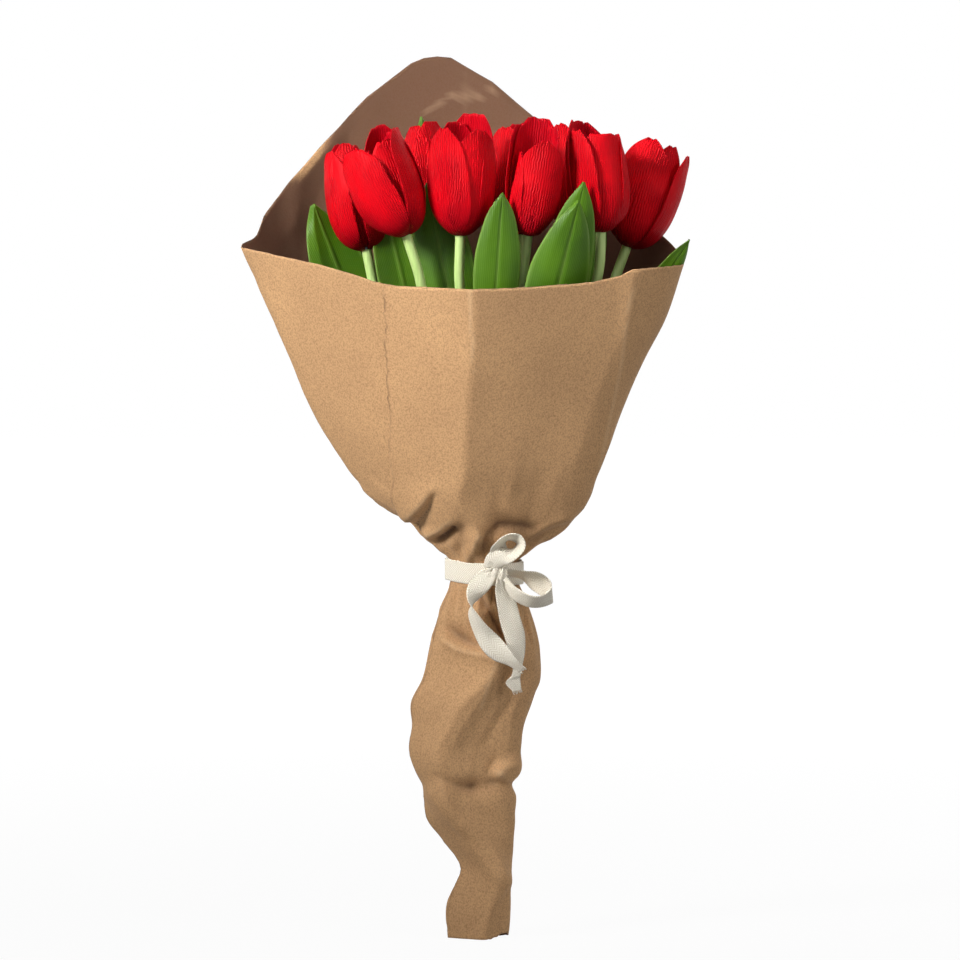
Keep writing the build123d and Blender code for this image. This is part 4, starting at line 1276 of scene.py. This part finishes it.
class BOUQUET_OT_stage(bpy.types.Operator):
    """Floor, backdrop, lights and camera"""

    bl_idname = "bouquet.stage"
    bl_label = "Make stage"

    def execute(self, context):
        settings = context.scene.bouquet_stage
        scene = context.scene
        scene.view_settings.view_transform = "Standard"
        light_world(scene, settings)

        floor_z = cad_bounds[0].z - FLOOR_GAP
        quarters = ((-1, -1), (1, -1), (1, 1), (-1, 1))
        corners = [(x * FLOOR_REACH, y * FLOOR_REACH, floor_z) for x, y in quarters]
        mesh = bpy.data.meshes.new("floor")
        mesh.from_pydata(corners, [], [(0, 1, 2, 3)])
        mesh.materials.append(floor_finish(settings))
        floor = bpy.data.objects.new("floor", mesh)
        scene.collection.objects.link(floor)

        beams = {
            "key": (settings.key_power, settings.key_spread),
            "fill": (settings.fill_power, settings.fill_spread),
            "top": (settings.top_power, math.pi),
            "back": (settings.back_power, math.pi),
        }
        for name, (power, spread) in beams.items():
            place, size = LAMPS[name]
            lamp = bpy.data.lights.new(name, "AREA")
            lamp.size = size
            lamp.energy = power
            lamp.spread = spread
            aimed(name, lamp, place, (Vector(LAMP_AIM) - Vector(place)).to_track_quat("-Z", "Y").to_euler())

        camera = bpy.data.cameras.new("camera")
        camera.sensor_width = SENSOR_WIDTH
        camera.lens = camera.sensor_width * settings.camera_distance / settings.view_width
        camera.clip_end = VIEW_END
        rise = settings.camera_rise
        place = Vector(VIEW_AIM) + Vector((0, -math.cos(rise), math.sin(rise))) * settings.camera_distance
        scene.camera = aimed("camera", camera, place, (math.pi / 2 - rise, 0, 0))
        return {"FINISHED"}


class BOUQUET_OT_paper(bpy.types.Operator):
    """The rolled kraft sheet"""

    bl_idname = "bouquet.paper"
    bl_label = "Make kraft paper"

    def execute(self, context):
        settings = context.scene.bouquet_paper
        form = paper_form(settings)
        piece = make_piece("kraft_paper", form, kraft_finish(settings), "wrap", "kraft_paper", "kraft_wrap")
        return {"FINISHED"}


class BOUQUET_OT_petals(bpy.types.Operator):
    """Two cloth layers of three petals on every tulip"""

    bl_idname = "bouquet.petals"
    bl_label = "Make petals"

    def execute(self, context):
        settings = context.scene.bouquet_petals
        cloth = petal_finish(settings)
        for number, petals in PETALS.items():
            for inner, name in enumerate(("outer", "inner")):
                chosen = petals[3 * inner:3 * inner + 3]
                form = joined([petal_form(number, inner, *petal, settings) for petal in chosen])
                names = f"{name}_cloth_{number}", f"{name}_petals_{number}"
                piece = make_piece(names[0], form, cloth, "bunch", "petal_cloth", names[1])
        return {"FINISHED"}


class BOUQUET_OT_leaves(bpy.types.Operator):
    """A leaf on every stem"""

    bl_idname = "bouquet.leaves"
    bl_label = "Make leaves"

    def execute(self, context):
        settings = context.scene.bouquet_leaves
        green = leaf_finish(settings)
        for number in LEAVES:
            form = leaf_form(number, settings)
            make_piece(f"leaf_blade_{number}", form, green, "bunch", "leaf_plastic", f"leaf_{number}")
        return {"FINISHED"}


class BOUQUET_OT_stems(bpy.types.Operator):
    """Finishes of the stems, the wires in them and the pistils"""

    bl_idname = "bouquet.stems"
    bl_label = "Finish stems"

    def execute(self, context):
        settings = context.scene.bouquet_stems
        finishes = {
            "stem_wires": steel_finish(settings),
            "stem": stem_finish(settings),
            "pistil": pistil_finish(settings),
        }
        for name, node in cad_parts.items():
            for start, material in finishes.items():
                if name.startswith(start):
                    node.data.materials.clear()
                    node.data.materials.append(material)
                    break
        return {"FINISHED"}


class BOUQUET_OT_tape(bpy.types.Operator):
    """The cotton tape and its bow"""

    bl_idname = "bouquet.tape"
    bl_label = "Make cotton tape"

    def execute(self, context):
        settings = context.scene.bouquet_tape
        form = tape_form(settings)
        piece = make_piece("cotton_tape_bow", form, tape_finish(settings), "wrap", "cotton", "cotton_tape")
        return {"FINISHED"}


class BOUQUET_PT_sidebar(bpy.types.Panel):
    """The bouquet's settings and its pieces"""

    bl_label = "Tulip bouquet"
    bl_idname = "BOUQUET_PT_sidebar"
    bl_space_type = "VIEW_3D"
    bl_region_type = "UI"
    bl_category = "Bouquet"

    def draw(self, context):
        for operator, group in zip(OPERATORS, SETTINGS):
            box = self.layout.box()
            box.operator(operator.bl_idname)
            values = getattr(context.scene, group)
            for name in values.__annotations__:
                box.prop(values, name)


OPERATORS = (
    BOUQUET_OT_stage,
    BOUQUET_OT_tape,
    BOUQUET_OT_paper,
    BOUQUET_OT_petals,
    BOUQUET_OT_leaves,
    BOUQUET_OT_stems,
)
SETTINGS = {
    "bouquet_stage": StageSettings,
    "bouquet_tape": TapeSettings,
    "bouquet_paper": PaperSettings,
    "bouquet_petals": PetalSettings,
    "bouquet_leaves": LeafSettings,
    "bouquet_stems": StemSettings,
}


def register():
    for group in (*SETTINGS.values(), *OPERATORS, BOUQUET_PT_sidebar):
        bpy.utils.register_class(group)
    for name, group in SETTINGS.items():
        setattr(bpy.types.Scene, name, PointerProperty(type=group))


def unregister():
    for name in SETTINGS:
        delattr(bpy.types.Scene, name)
    for group in reversed((*SETTINGS.values(), *OPERATORS, BOUQUET_PT_sidebar)):
        bpy.utils.unregister_class(group)


def main():
    register()
    bpy.ops.bouquet.stage()
    bpy.ops.bouquet.tape()
    bpy.ops.bouquet.paper()
    bpy.ops.bouquet.petals()
    bpy.ops.bouquet.leaves()
    bpy.ops.bouquet.stems()


if __name__ == "__main__":
    main()
